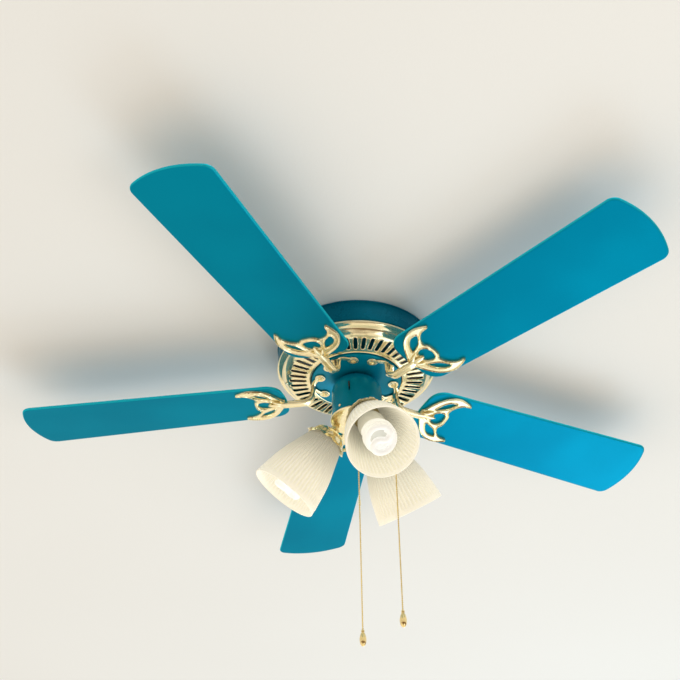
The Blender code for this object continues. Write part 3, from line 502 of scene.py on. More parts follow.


# the third colour of the blade paint is a painted highlight on the board edges
blade_paint = painted("teal_blade", rgb(0.0, 0.185, 0.295), rgb(0.0, 0.225, 0.345), rgb(0.02, 0.55, 0.70),
                      rough=0.36, flake=0.55, coat=0.0, shine=0.03, peel=420.0, peel_depth=0.00003)
# a darker copy of the teal enamel: painted shade on the canopy drum, which shares the enamel's slot
shaded_canopy_enamel = painted("shaded_canopy_enamel", rgb(0.0, 0.105, 0.175), rgb(0.0, 0.125, 0.200),
                        rgb(0.0, 0.12, 0.19), rough=0.26, flake=0.2, coat=0.03, shine=0.12,
                        peel=260.0, peel_depth=0.00001)
enamel = painted("teal_enamel", rgb(0.0, 0.215, 0.335), rgb(0.0, 0.240, 0.370), rgb(0.0, 0.22, 0.34),
                 rough=0.24, flake=0.2, coat=0.08, shine=0.20, peel=260.0, peel_depth=0.00001)
brass = metal("polished_brass", rgb(0.96, 0.86, 0.56), rgb(0.80, 0.62, 0.30), 0.13, 0.08, purity=0.88)
warm_brass = metal("warm_brass", rgb(0.93, 0.74, 0.36), rgb(0.74, 0.52, 0.20), 0.13, 0.12, purity=0.95)
chain_brass = metal("chain_brass", rgb(0.88, 0.69, 0.30), rgb(0.62, 0.44, 0.16), 0.22, 0.12)
zinc = metal("zinc_steel", rgb(0.62, 0.63, 0.65), rgb(0.42, 0.43, 0.45), 0.34, 0.2, tarnish=(0.3, 0.7))
bearing = metal("bearing_steel", rgb(0.60, 0.60, 0.61), rgb(0.40, 0.40, 0.42), 0.18, 0.15, (1, 1, 12))
lamination = striped_metal("lamination_steel", rgb(0.32, 0.32, 0.34), rgb(0.10, 0.10, 0.11),
                           0.35, 320.0, 0.0001)
copper = striped_metal("enamelled_copper", rgb(0.78, 0.33, 0.13), rgb(0.36, 0.12, 0.04),
                       0.25, 260.0, 0.0003)
black_plastic = moulded("black_plastic", rgb(0.018, 0.018, 0.019), rgb(0.032, 0.031, 0.03), 0.42)
socket_plastic = moulded("socket_plastic", rgb(0.70, 0.67, 0.58), rgb(0.58, 0.55, 0.47), 0.40)
white_plastic = moulded("white_plastic", rgb(0.90, 0.90, 0.87), rgb(0.84, 0.84, 0.80), 0.35)
glass = frosted_glass()
tube_glow = lit_tube()


# ---- camera, ceiling and light ----------------------------------------------------------
def set_camera():
    """The camera stands low in front of the fan and looks up at it."""
    ahead = Vector((-0.0140, 0.7854, 0.6188)).normalized()
    right = ahead.cross(Vector((0, 0, 1))).normalized()
    up = right.cross(ahead)
    roll = math.radians(-0.82)
    right, up = right * math.cos(roll) + up * math.sin(roll), up * math.cos(roll) - right * math.sin(roll)
    data = bpy.data.cameras.new("camera")
    data.lens, data.sensor_width = 58.3, 36.0
    data.clip_start, data.clip_end = 0.01, 60.0
    camera = bpy.data.objects.new("camera", data)
    bpy.context.scene.collection.objects.link(camera)
    turn_to = Matrix((right, up, -ahead)).transposed().to_4x4()
    camera.matrix_world = Matrix.Translation((0, -1.732, -1.338)) @ turn_to
    bpy.context.scene.camera = camera


def make_ceiling():
    """Matt pale plaster over the fan. Its back lets sight and light through."""
    material, shop = new_finish("plaster")
    where = shop.place()
    stipple = shop.noise(where, 160.0, 4.0, 0.65)
    drift = shop.noise(where, 0.7, 2.0)
    plaster = shop.principled(Base_Color=shop.blend(drift, rgb(0.80, 0.79, 0.77), rgb(0.87, 0.87, 0.86)),
                              Roughness=0.85 + stipple * 0.1, Specular_IOR_Level=0.2,
                              Normal=shop.bump(stipple, 0.0002))
    behind = shop.node("ShaderNodeNewGeometry", out="Backfacing")
    clear = shop.node("ShaderNodeBsdfTransparent")
    shop.finish(shop.node("ShaderNodeMixShader", None, {0: behind, 1: plaster, 2: clear}))
    half, height = 8.0, 0.0006
    mesh = bpy.data.meshes.new("ceiling")
    corners = [(-half, -half, height), (-half, half, height), (half, half, height), (half, -half, height)]
    mesh.from_pydata(corners, [], [(0, 1, 2, 3)])
    mesh.materials.append(material)
    ceiling = bpy.data.objects.new("ceiling", mesh)
    bpy.context.scene.collection.objects.link(ceiling)
    ceiling.visible_shadow = False


def add_light(name, place, aim, size, power, colour=(1, 1, 1)):
    """A square soft light that looks from one point to another."""
    data = bpy.data.lights.new(name, "AREA")
    data.size, data.energy, data.color = size, power, colour
    light = bpy.data.objects.new(name, data)
    bpy.context.scene.collection.objects.link(light)
    facing = (Vector(aim) - Vector(place)).to_track_quat("-Z", "Y")
    light.matrix_world = Matrix.Translation(place) @ facing.to_matrix().to_4x4()


def make_room():
    """A pale room: what the camera sees behind the object is plain, and what polished metal
    mirrors has brighter and darker parts, as a room has."""
    world = bpy.data.worlds.new("room")
    bpy.context.scene.world = world
    world.use_nodes = True
    shop = Shop(world.node_tree)
    where = shop.node("ShaderNodeTexCoord", out="Generated")
    below = shop.node("ShaderNodeVectorMath", {"operation": "DOT_PRODUCT"},
                      {0: where, 1: (-0.25, 0.50, -0.80)}, out="Value")
    patches = shop.fade(below + shop.noise(where, 3.2, 2.0) * 1.9, 0.80, 1.30)
    room = shop.blend(patches, rgb(0.18, 0.10, 0.04), rgb(1.01, 0.92, 0.79))
    seen = shop.node("ShaderNodeLightPath", out="Is Camera Ray")
    colour = shop.blend(seen, room, rgb(0.80, 0.80, 0.79))
    shade = shop.node("ShaderNodeBackground", None, {"Color": colour, "Strength": 1.0})
    shop.node("ShaderNodeOutputWorld", None, {"Surface": shade})


set_camera()
make_ceiling()
make_room()
add_light("key", (0.95, 2.2, -3.5), (0, 0, -0.1), 2.8, 28.0, (0.44, 0.75, 1.0))
add_light("window", (2.2, 4.0, -3.1), (0, 0, -0.1), 1.8, 42.0, (0.52, 0.79, 1.0))
add_light("fill", (1.9, -1.6, -2.0), (0.3, 0, -0.1), 1.3, 9.0, (0.85, 0.93, 1.0))
add_light("above", (1.2, -1.8, 3.2), (0, 0, -0.1), 2.5, 60.0)
bpy.context.scene.view_settings.view_transform = "Standard"


# ---- chains: the cords come first -------------------------------------------------------
def screw_head(radius, height, rise=0.0):
    """A pan head, face up: height falls as the root of 1 - (r / R)^2.6, less a cross where the
    smaller of |x| and |y| is near zero."""
    sides = 24
    r = np.concatenate([np.linspace(0.0, 0.95, 8), [1.0]]) * radius
    a = np.arange(sides) * TAU / sides
    x, y = r[:, None] * np.cos(a), r[:, None] * np.sin(a)
    dome = height * np.clip(1 - (r / radius) ** 2.6, 0, 1)[:, None] ** 0.5
    cross = np.exp(-(np.minimum(np.abs(x), np.abs(y)) / (0.16 * radius)) ** 2)
    cross = cross / (1 + np.exp((r[:, None] / radius - 0.6) * 22))
    top = np.stack([x, y, rise + dome - 0.35 * height * cross], -1)
    foot = turn([(radius, rise - 0.0004), (0.0, rise - 0.0004)], sides)
    return skin(np.concatenate([top, foot]))


def bead_chain():
    """Beads on a wire: the radius at height z is the larger of the wire's and a sphere's,
    sqrt(R^2 - s^2), where s is the distance to the nearest bead's middle."""
    beads, radius = 108, CHAIN_D / 2
    wire = 0.35 * radius
    pitch = (CHAIN_TOP_Z - CHAIN_END_Z) / beads
    step = np.array([-0.5, -0.43, -0.3, 0.0, 0.3, 0.43]) * pitch
    z = CHAIN_TOP_Z - (np.arange(beads)[:, None] + 0.5) * pitch - step
    r = np.maximum(np.sqrt(np.clip(radius ** 2 - step ** 2, 0, None)), wire)
    rows = np.stack([np.broadcast_to(r, z.shape), z], -1).reshape(-1, 2)
    rows = np.vstack([rows, [[wire, CHAIN_END_Z]]])
    return turned(rows, 8)


def coupling(z):
    """The part that joins two lengths of chain, with a bead of each held inside it."""
    half = [(0.0024, 0.0010), (0.0022, 0.0048), (0.0014, 0.0060), (0.0, 0.0062)]
    return turned([(r, z + h) for r, h in half[::-1]] + [(0.0020, z)] + [(r, z - h) for r, h in half], 20)


def screws(name, head, angles, place):
    """Small brass screws of the fixed body, at angles round the axis."""
    for number, degrees in enumerate(angles):
        add_piece(f"{name}_{number + 1}", [placed(head, about("Z", degrees) @ place)], brass, "fan_body")


def pull(prefix, degrees, body, coupling_z=None):
    """A bead chain with its fob; the fan's chain also has a coupling."""
    at = about("Z", degrees) @ move(CHAIN_OFFSET)
    chain = add_piece(prefix + "_bead_chain", [placed(bead_chain(), at)], chain_brass, body,
                      [prefix + "_chain"])
    top = CHAIN_END_Z - TOUCH
    profile = smooth([(0.0012, top), (0.0026, top - 0.0006), (0.0030, top - 0.0030), (0.0024, top - 0.0050),
                      (0.0036, top - 0.0070), (0.0046, top - 0.0095), (0.0058, top - 0.0150),
                      (0.0060, top - 0.0190), (0.0053, top - 0.0240), (0.0038, top - 0.0275),
                      (0.0016, top - 0.0297), (0.0, top - FOB_H)], 4)
    fob = add_piece(prefix + "_pull_fob", [placed(turned(np.vstack([[0, top], profile]), 32), at)],
                    warm_brass, body, [prefix + "_fob"], slot="chain_brass")
    if coupling_z:
        add_piece(prefix + "_chain_coupling", [placed(coupling(coupling_z), at)], brass, body,
                                slot="chain_brass")


pull("fan", FAN_CHAIN_DEG, "fan_pull", -0.307)
pull("light", LIGHT_CHAIN_DEG, "light_pull")


# ---- canopy and vent ring ---------------------------------------------------------------
def make_canopy():
    """Drum with a rolled bead at the ceiling and a rounded turn into its lower lip."""
    outer, corner = CANOPY_R, 0.0030
    bead = arc(outer, -TOUCH - CANOPY_BEAD, CANOPY_BEAD, 90, -80, 8)
    lower = arc(outer - corner, -CANOPY_H + corner, corner, 0, -90, 6)
    lip = [(outer - CANOPY_LIP, -CANOPY_H), (outer - CANOPY_LIP, -CANOPY_H + SHEET),
           (outer - corner, -CANOPY_H + SHEET)]
    inner = [(outer - SHEET, -CANOPY_H + corner), (outer - SHEET, -TOUCH)]
    profile = np.vstack([bead, [(outer, -0.0052), (outer, -0.020)], lower, lip, inner])
    # the drum wears the darker copy of the enamel, painted shade
    add_piece("canopy_drum", [ring_of(profile, 160)], shaded_canopy_enamel, "fan_body", ["canopy"])


def ring_height(r):
    """Height of the slotted plate's lower face: straight between its three turned edges."""
    return np.interp(r, [RING_IN_R, SLOT_IN_R, SLOT_OUT_R, RING_OUT_R], [-0.0740, -0.0730, -0.0708, -0.0685])


def vent_plate():
    """The slotted plate: each 7.5 degree cell is a grid between its slot's edge and the cell's
    own edge, and a pressed rim, a bell curve of the distance to the slot, stands round the slot."""
    half, side, end = math.pi / SLOT_COUNT, 14, 6
    rim_height, rim_width, thick = 0.0009, 0.0005, 0.0010
    w = SLOT_HALF_W
    first, last = SLOT_IN_R + w, SLOT_OUT_R - w
    a = np.radians(np.linspace(45, -45, end + 1)[:-1])
    out_arc = np.stack([last + w * np.cos(a), w * np.sin(a)], -1)
    reach, bend = last - first, w * math.pi / 4
    run = np.linspace(0, 1, side + 1)[:-1] * (reach + 2 * bend)
    before, after = (bend - run) / w, (run - bend - reach) / w
    x = np.where(before > 0, last + w * np.sin(before),
                 np.where(after > 0, first - w * np.sin(after), last - (run - bend)))
    y = -np.where(before > 0, w * np.cos(before), np.where(after > 0, w * np.cos(after), w))
    slot_edge = np.vstack([out_arc, np.stack([x, y], -1)])
    slot_edge = np.vstack([slot_edge, slot_edge * [-1, -1] + [first + last, 0]])
    angle_out = np.linspace(half, -half, end + 1)[:-1]
    cell_r = np.concatenate([np.full(end, RING_OUT_R), np.linspace(RING_OUT_R, RING_IN_R, side + 1)[:-1],
                             np.full(end, RING_IN_R), np.linspace(RING_IN_R, RING_OUT_R, side + 1)[:-1]])
    cell_a = np.concatenate([angle_out, np.full(side, -half), -angle_out, np.full(side, half)])
    slot_r, slot_a = np.hypot(*slot_edge.T), np.arctan2(slot_edge[:, 1], slot_edge[:, 0])
    t = np.array([0, 0.08, 0.17, 0.28, 0.42, 0.66, 1.0])[:, None]
    r, angle = slot_r + (cell_r - slot_r) * t, slot_a + (cell_a - slot_a) * t
    flat = np.stack([r * np.cos(angle), r * np.sin(angle)], -1)
    nearest = np.clip(flat[..., 0], first, last)
    d = np.hypot(flat[..., 0] - nearest, flat[..., 1]) - w
    rim = rim_height * np.exp(-((d - rim_width) / rim_width) ** 2)
    low = (ring_height(r) - rim)[..., None]
    cell = skin(np.concatenate([np.concatenate([flat, low], -1),
                                np.concatenate([flat, low + thick], -1)[::-1]]), loop=True)
    return [placed(cell, about("Z", k * 360 / SLOT_COUNT)) for k in range(SLOT_COUNT)]


def make_vent_ring():
    """Brass roll, cove and slotted plate, with four small screws in the cove."""
    low = RING_TOP_Z
    outer = smooth([(CANOPY_R - 0.006, low), (CANOPY_R - 0.0005, low - 0.0006),
                    (CANOPY_R + 0.0012, low - 0.0030),
                    (CANOPY_R + 0.0008, low - 0.0058), (CANOPY_R - 0.0025, low - 0.0088),
                    (CANOPY_R - 0.0070, low - 0.0108), (CANOPY_R - 0.0090, low - 0.0118),
                    (CANOPY_R - 0.0102, low - 0.0142), (CANOPY_R - 0.0128, low - 0.0176),
                    (RING_OUT_R + 0.0004, low - 0.0208), (RING_OUT_R - 0.0010, low - 0.0218)], 5)
    inner = (outer + [-0.0012, 0.0010])[::-1]
    surfaces = [ring_of(np.vstack([outer, inner]), 192)] + vent_plate()
    inner_lip = [(RING_IN_R + 0.0006, -0.0730), (RING_IN_R - 0.0006, -0.0735), (RING_IN_R - 0.0004, -0.0746),
                 (RING_IN_R + 0.0012, -0.0752), (RING_IN_R + 0.0022, -0.0744)]
    surfaces.append(ring_of(inner_lip, 128))
    add_piece("vent_grille", surfaces, brass, "fan_body", ["vent_ring"])
    screws("ring_screw", screw_head(0.0034, 0.0020), (-93, -5, 85, 175),
           move(0.1370, 0, -0.0683) @ about("X", 180))


make_canopy()
make_vent_ring()


# ---- rotor ------------------------------------------------------------------------------
def make_motor_shell():
    """Turning shell: a glossy flange below with a shallow pressed step, the drum above it."""
    hub_low, hub_high, wall = -0.0688, -0.0292, DRUM_R - 0.003
    low = [(SHAFT_HOLE_R, FLANGE_Z + 0.0004), (0.0540, FLANGE_Z + 0.0004), (0.0550, FLANGE_Z),
           (FLANGE_R - 0.0030, FLANGE_Z)]
    edge = arc(FLANGE_R - 0.0015, FLANGE_Z + 0.0015, 0.0015, -90, 0, 5)
    rest = [(FLANGE_R, FLANGE_Z + FLANGE_THICK), (DRUM_R, FLANGE_Z + FLANGE_THICK + 0.0006),
            (DRUM_R, DRUM_TOP_Z - 0.003), (DRUM_R - 0.001, DRUM_TOP_Z - 0.0008), (DRUM_R - 0.003, DRUM_TOP_Z),
            (SHAFT_HOLE_R, DRUM_TOP_Z), (SHAFT_HOLE_R, DRUM_TOP_Z - 0.001), (0.0143, DRUM_TOP_Z - 0.001),
            (0.0143, hub_high), (0.020, hub_high), (0.020, DRUM_TOP_Z - 0.003), (wall, DRUM_TOP_Z - 0.003),
            (wall, -0.034), (0.0628, -0.036), (0.0628, -0.062), (wall, -0.064),
            (wall, FLANGE_Z + FLANGE_THICK), (0.020, FLANGE_Z + FLANGE_THICK), (0.020, hub_low),
            (0.0143, hub_low), (0.0143, FLANGE_Z + 0.001), (SHAFT_HOLE_R, FLANGE_Z + 0.001)]
    add_piece("motor_shell", [ring_of(np.vstack([low, edge, rest]), 128)], enamel, "rotor", ["rotor_shell"])


def blade_outline():
    """Tapered board: wide arcs across both ends, rounded corners, straight sides."""
    tip_arc, tip_corner, root_arc, root_corner = 0.174, 0.020, 0.250, 0.032
    tip_centre, root_centre = BLADE_TIP_R - tip_arc, BLADE_ROOT_R + root_arc
    corner_v = BLADE_HALF_W + BLADE_FLARE * (BLADE_TIP_R - BLADE_ROOT_R) - tip_corner
    corner_u = tip_centre + math.sqrt((tip_arc - tip_corner) ** 2 - corner_v ** 2)
    tip_angle = math.degrees(math.atan2(corner_v, corner_u - tip_centre))
    root_v = BLADE_HALF_W - root_corner
    root_u = root_centre - math.sqrt((root_arc - root_corner) ** 2 - root_v ** 2)
    root_angle = math.degrees(math.atan2(root_v, root_u - root_centre))
    side = np.linspace(0, 1, 26)[1:-1, None]
    start, end = np.array([corner_u, corner_v + tip_corner]), np.array([root_u, root_v + root_corner])
    upper = np.vstack([arc(tip_centre, 0, tip_arc, 0, tip_angle, 14),
                       arc(corner_u, corner_v, tip_corner, tip_angle, 90, 12)[1:],
                       start + (end - start) * side,
                       arc(root_u, root_v, root_corner, 90, root_angle, 12),
                       arc(root_centre, 0, root_arc, root_angle, 180, 8)[1:]])
    return np.vstack([upper, upper[-2:0:-1] * [1, -1]])


def iron_surfaces():
    """Cast iron of a blade: the pierced wing under the board, a crest, the bar and its fork."""
    half = [(0.1400, 0.0085), (0.1435, 0.0130), (0.1490, 0.0235), (0.1580, 0.0390), (0.1690, 0.0515),
            (0.1830, 0.0600), (0.1980, 0.0630), (0.2120, 0.0610), (0.2250, 0.0560), (0.2285, 0.0525),
            (0.2255, 0.0490), (0.2150, 0.0480), (0.2060, 0.0435), (0.1985, 0.0355), (0.1945, 0.0265),
            (0.1945, 0.0205), (0.1985, 0.0155), (0.2003, 0.0080)]
    outline = smooth(np.vstack([half, np.array(half[::-1]) * [1, -1]]), 7, closed=True)
    upper = np.array([(0.1925, 0.0), (0.1915, 0.0080), (0.1872, 0.0145), (0.1790, 0.0158), (0.1705, 0.0115),
                      (0.1690, 0.0055), (0.1735, 0.0)])
    centre = smooth(np.vstack([upper, upper[-2:0:-1] * [1, -1]]), 6, closed=True)
    wing = smooth([(0.1975, 0.0475), (0.1925, 0.0385), (0.1860, 0.0310), (0.1770, 0.0255), (0.1655, 0.0205),
                   (0.1690, 0.0300), (0.1755, 0.0395), (0.1860, 0.0475)], 6, closed=True)
    loops = [outline, centre, wing, wing * [1, -1]]
    tilt = about("X", -PITCH)
    surfaces = [placed(casting(loops, IRON_TOP, wall=0.0012, depth=0.0042, roll=0.0017, pitch=0.0009), tilt)]
    for swing, reach, wide in ((0, 0.034, 0.0050), (25, 0.027, 0.0036), (-25, 0.027, 0.0036)):
        s = np.linspace(0, 1, 14)
        spine = np.stack([0.140 + reach * s * math.cos(math.radians(swing)),
                          reach * s * math.sin(math.radians(swing)) * 1.2,
                          -0.0075 - 0.0016 * np.sin(math.pi * s)], -1)
        width = wide * np.sin(math.pi * np.clip(s * 0.92 + 0.06, 0, 1)) ** 0.7
        surfaces.append(placed(bar(spine, width, 0.45 * width + 0.0008), tilt))
    route = smooth([(0.160, 0, -0.0066), (0.150, 0, -0.0080), (0.138, 0, -0.0094), (0.122, 0, -0.0098),
                    (0.108, 0, -0.0100), (0.098, 0, -0.0090), (0.0905, 0, -0.0040), (0.0868, 0, 0.0040),
                    (0.0852, 0, 0.0140), (0.0850, 0, 0.0215)], 6)
    s = np.linspace(0, 1, len(route))
    half_w = np.interp(s, [0, 0.1, 0.25, 0.55, 0.7, 0.9, 1],
                       [0.0035, 0.006, 0.0078, 0.0086, 0.0092, 0.0086, 0.0094])
    half_h = np.interp(s, [0, 0.1, 0.25, 0.55, 0.7, 1], [0.0020, 0.0034, 0.0044, 0.0046, 0.0050, 0.0040])
    surfaces.append(bar(route, half_w, half_h, sides=24, squareness=0.62))
    for side in (-1, 1):
        ridge = route + [0, side * 0.0052, 0]
        ridge[:, 2] -= 0.0034
        surfaces.append(bar(ridge[8:-16], 0.0017, 0.0014, sides=12))
    ear = slab(arc(0, 0, EAR_R + 0.0012, 0, 360, 32)[:-1], EAR_TOP - EAR_THICK, EAR_TOP, 0.0012)
    for side in (-1, 1):
        surfaces.append(placed(ear, move(EAR_U, side * EAR_V)))
        yoke = smooth([(0.0862, side * 0.0030, 0.0215), (0.0836, side * 0.0085, 0.0243),
                       (0.0795, side * 0.0150, 0.0250), (0.0745, side * 0.0205, 0.0250),
                       (0.0700, side * 0.0235, 0.0250)], 5)
        surfaces.append(bar(yoke, 0.0047, 0.0016, side=(0.83, side * 0.55, 0), sides=16, squareness=0.8))
    for side in (-1, 1):
        boss = ring_of([(0.0048, -0.0004), (0.0052, -0.0013), (0.0066, -0.0013), (0.0074, -0.0002),
                        (0.0074, 0.0008), (0.0048, 0.0008)], 28)
        surfaces.append(placed(boss, move(EAR_U, side * EAR_V, EAR_TOP - EAR_THICK)))
    return surfaces


def make_blades():
    """Five boards, each with its iron below, two ear screws and three board screws on top."""
    tilt = about("X", -PITCH)
    flat_board = slab(blade_outline(), -BLADE_THICK / 2, BLADE_THICK / 2, 0.0027, 6)
    # mask for the painted edge highlight: one midway through the board's edge, zero on its faces
    edge_highlight = 1 - (2 * np.abs(flat_board[0][:, 2]) / BLADE_THICK) ** 3
    board = placed(flat_board, tilt)
    iron = iron_surfaces()
    down = about("X", 180)
    for k in range(BLADES):
        at = about("Z", FIRST_BLADE + k * 360 / BLADES) @ move(0, 0, BLADE_Z)
        add_piece(f"blade_board_{k + 1}", [placed(board, at)], blade_paint, "rotor", [f"blade_{k + 1}"],
                  tags={"edge_highlight": edge_highlight})
        add_piece(f"wing_iron_{k + 1}", all_placed(iron, at), brass, "rotor", [f"blade_iron_{k + 1}"],
                  sharp=50)
        for letter, side in (("a", -1), ("b", 1)):
            seat = at @ move(EAR_U, side * EAR_V, EAR_TOP - EAR_THICK - TOUCH) @ down
            shank = turned([(0.0, 0.0), (0.0020, 0.0), (0.0020, 0.0066), (0.0, 0.0066)], 12)
            shank = placed(shank, at @ move(EAR_U, side * EAR_V, EAR_TOP - EAR_THICK))
            add_piece(f"ear_screw_{k + 1}{letter}", [placed(screw_head(0.0042, 0.0024), seat), shank],
                      warm_brass, "rotor", [f"iron_screw_{k + 1}{letter}"])
        heads = []
        for u, v in ((0.156, 0.0), (0.186, 0.054), (0.186, -0.054)):
            top = at @ tilt @ move(u, v, BLADE_THICK / 2 + 0.0010)
            washer = ring_of([(0.0022, -0.0010), (0.0068, -0.0010), (0.0072, -0.0005), (0.0066, 0.0),
                              (0.0022, 0.0)], 28)
            heads += [placed(screw_head(0.0046, 0.0024, 0.0002), top), placed(washer, top)]
        add_piece(f"board_screws_{k + 1}", heads, warm_brass, "rotor")


make_motor_shell()
make_blades()


# ---- switch housing, spouts and reversing switch ----------------------------------------
def make_housing():
    """Cup with a quarter-ellipse shoulder and an open slot: the wall's cells in the slot are left
    out of its outer and inner face, and the slot's four sides join the two faces."""
    run, shoulder_z = HOUSING_R - HOUSING_TOP_R, HOUSING_TOP_Z - HOUSING_SHOULDER
    a = np.linspace(0, math.pi / 2, 15)
    heights = [REVERSE_Z + REVERSE_H / 2, REVERSE_Z, REVERSE_Z - REVERSE_H / 2, -0.140, -0.150, -0.160,
               HOUSING_END_Z]
    half = math.degrees(REVERSE_W / 2 / HOUSING_R)
    rest = np.linspace(half, 360 - half, 122)[1:-1]
    angles = np.radians(REVERSE_DEG + np.concatenate([[-half, half], rest]))
    both = []
    for inset in (0.0, SHEET):
        profile = np.vstack([[(0.0083, HOUSING_TOP_Z - inset), (0.0190, HOUSING_TOP_Z - inset)],
                             np.stack([HOUSING_TOP_R + (run - inset) * np.sin(a),
                                       shoulder_z + (HOUSING_SHOULDER - inset) * np.cos(a)], -1),
                             [(HOUSING_R - inset, z) for z in heights]])
        r, h = profile[:, :1], profile[:, 1:]
        both.append(np.stack([r * np.cos(angles), r * np.sin(angles), h + 0 * angles], -1))
    rows, columns = both[0].shape[:2]
    points, (quads,) = skin(np.concatenate([both[0], both[1][::-1]]), loop=True)
    cell = quads.reshape(2 * rows, columns, 4)
    keep = np.ones((2 * rows, columns), bool)
    out = np.arange(2 * rows * columns).reshape(2 * rows, columns)
    back = out[::-1]
    first = 2 + len(a)
    end = first + 2
    sides = []
    for row in range(first, end):
        keep[[row, 2 * rows - 2 - row], 0] = False
        sides.append([out[row, 0], out[row + 1, 0], back[row + 1, 0], back[row, 0]])
        sides.append([out[row + 1, 1], out[row, 1], back[row, 1], back[row + 1, 1]])
    sides.append([out[first, 1], out[first, 0], back[first, 0], back[first, 1]])
    sides.append([out[end, 0], out[end, 1], back[end, 1], back[end, 0]])
    add_piece("switch_cup", [(points, [cell[keep], np.array(sides)])], enamel, "fan_body",
              ["switch_housing"])
    screws("housing_screw", screw_head(0.0027, 0.0019, 0.0002), (-132, -12, 108),
           move(HOUSING_R, 0, -0.157) @ about("Y", 90))


def spout(name, degrees, node):
    """A chain's spout: a level tube through a round nut, a quarter bend, and a bell-mouthed end
    whose bore runs back up inside it. The path turns back, so one run makes it all."""
    bend_r, drop = 0.0065, SPOUT_END_Z
    level = np.stack([np.array([0.034, 0.0478, 0.0479, 0.0484, 0.0506, 0.0511, 0.0512, 0.0560, 0.0600]),
                      np.full(9, SPOUT_Z)], -1)
    level_r = [0.0045, 0.0045, 0.0068, 0.0075, 0.0075, 0.0068, 0.0045, 0.0045, 0.0045]
    bend = arc(CHAIN_OFFSET - bend_r, SPOUT_Z - bend_r, bend_r, 90, 0, 10)
    down = np.array([[CHAIN_OFFSET, z] for z in (-0.1475, -0.1478, -0.1484, -0.1490, drop + 0.0030,
                                                 drop + 0.0008, drop)])
    down_r = [0.0046, 0.0052, 0.0053, 0.0047, 0.0047, 0.0054, 0.0051]
    flat = np.vstack([level, bend, down])
    path = np.stack([flat[:, 0], 0 * flat[:, 0], flat[:, 1]], -1)
    radii = level_r + [0.0046] * len(bend) + down_r
    rings = tube(path, radii, 28)
    mouth = np.array([CHAIN_OFFSET, 0, drop])
    turned_in = [mouth + (rings[-1] - mouth) * share for share in (0.78, 0.51)]
    bore = [turned_in[-1] + [0, 0, rise] for rise in (0.0006, 0.016)]
    surface = skin(np.concatenate([rings, turned_in, bore]))
    at = about("Z", degrees)
    case = slab([(0.016, -0.0100), (0.036, -0.0100), (0.036, 0.0100), (0.016, 0.0100)],
                SPOUT_Z - 0.011, SPOUT_Z + 0.011, 0.001)
    add_piece(name + "_case", [placed(case, at)], black_plastic, "fan_body")
    add_piece(name + "_spout", [placed(surface, at)], warm_brass, "fan_body", [node])


make_housing()
spout("fan_pull", FAN_CHAIN_DEG, "fan_switch")
spout("light_pull", LIGHT_CHAIN_DEG, "light_switch")


# ---- light kit --------------------------------------------------------------------------
def make_pan():
    """Brass pan with a rolled lip and a turned finial below it."""
    z = PAN_BOTTOM_Z
    outside = smooth([(0.0022, z - 0.0254), (0.0052, z - 0.0245), (0.0080, z - 0.0205), (0.0080, z - 0.0165),
                      (0.0052, z - 0.0130), (0.0048, z - 0.0112), (0.0075, z - 0.0100), (0.0118, z - 0.0082),
                      (0.0136, z - 0.0050), (0.0140, z - 0.0030), (0.0175, z - 0.0012), (0.0230, z),
                      (0.0350, z), (0.0440, z + 0.0002), (0.0488, z + 0.0012), (0.0508, z + 0.0026),
                      (PAN_LIP_R, z + 0.0040), (0.0506, z + 0.0050)], 5)
    lip_top = HOUSING_END_Z - TOUCH
    inside_up = [(0.0463, lip_top), (0.0463, lip_top + 0.0115), (0.0451, lip_top + 0.0115),
                 (0.0451, z + SHEET), (0.0, z + SHEET)]
    profile = np.vstack([[0, z - 0.0255], outside, inside_up])
    add_piece("fitter_pan", [turned(profile, 112)], brass, "fan_body", ["light_fitter"])


def knurled(radius, length, teeth):
    """A thumb nut along Z: the radius swells by a cosine of the angle, and its ends are eased."""
    a = np.arange(teeth * 6) * TAU / (teeth * 6)
    z = np.array([0.0, 0.0004, 0.0009, length - 0.0009, length - 0.0004, length])
    r = radius * np.array([0.80, 0.93, 1.0, 1.0, 0.93, 0.80])
    r = r[:, None] * (1 + 0.045 * np.cos(teeth * a))
    return skin(np.stack([r * np.cos(a), r * np.sin(a), z[:, None] + 0 * a], -1))


def cheek(side):
    """A rounded plate that stands on edge round the knuckle pin, on one side of the arm's eye, and
    reaches up into the holder's cup."""
    thick, radius, top = 0.0028, EYE_R + 0.0006, 0.0092
    outline = np.vstack([arc(0, 0, radius, 180, 360, 20), [(radius, top), (-radius, top)]])
    plate = upright(slab(outline, -thick / 2, thick / 2, 0.0007, 3))
    return placed(plate, move(0, side * (0.0033 + thick / 2), 0))


def arm_surfaces():
    """Short arm at the knuckle: threaded nipple and hexagon nut, set back from the knuckle, and the
    eye for the pin."""
    under, across, back = PAN_BOTTOM_Z - TOUCH - PIVOT_Z, 0.0068, move(-0.0040)
    nipple = turned([(0, under + 0.006), (0.0030, under + 0.006), (0.0030, under), (0.0, under)], 20)
    a = np.radians(30 + 60 * np.arange(6))
    hexagon = np.stack([across * np.cos(a), across * np.sin(a)], -1)
    nut = slab(hexagon, under - 0.0020, under, 0.0004, 2)
    outline = np.vstack([arc(0, 0, EYE_R, 160, 400, 24),
                         [(0.0015, under - 0.0012), (-0.0080, under - 0.0012)]])
    eye = upright(slab(outline, -0.0030, 0.0030, 0.0008, 3))
    return [placed(nipple, back), placed(nut, back), eye]


def pin_surfaces():
    """Knuckle pin: a domed head on one side, a knurled thumb nut on the other."""
    reach = 0.0064
    across = about("X", -90)
    shank = placed(turned([(0, -reach), (0.0020, -reach), (0.0020, reach), (0, reach)], 20), across)
    head = placed(screw_head(0.0044, 0.0022, 0.0002),
                  move(0, -reach, 0) @ about("X", 90))
    nut = placed(knurled(0.0052, 0.0030, 16), move(0, reach, 0) @ across)
    return [shank, head, nut]


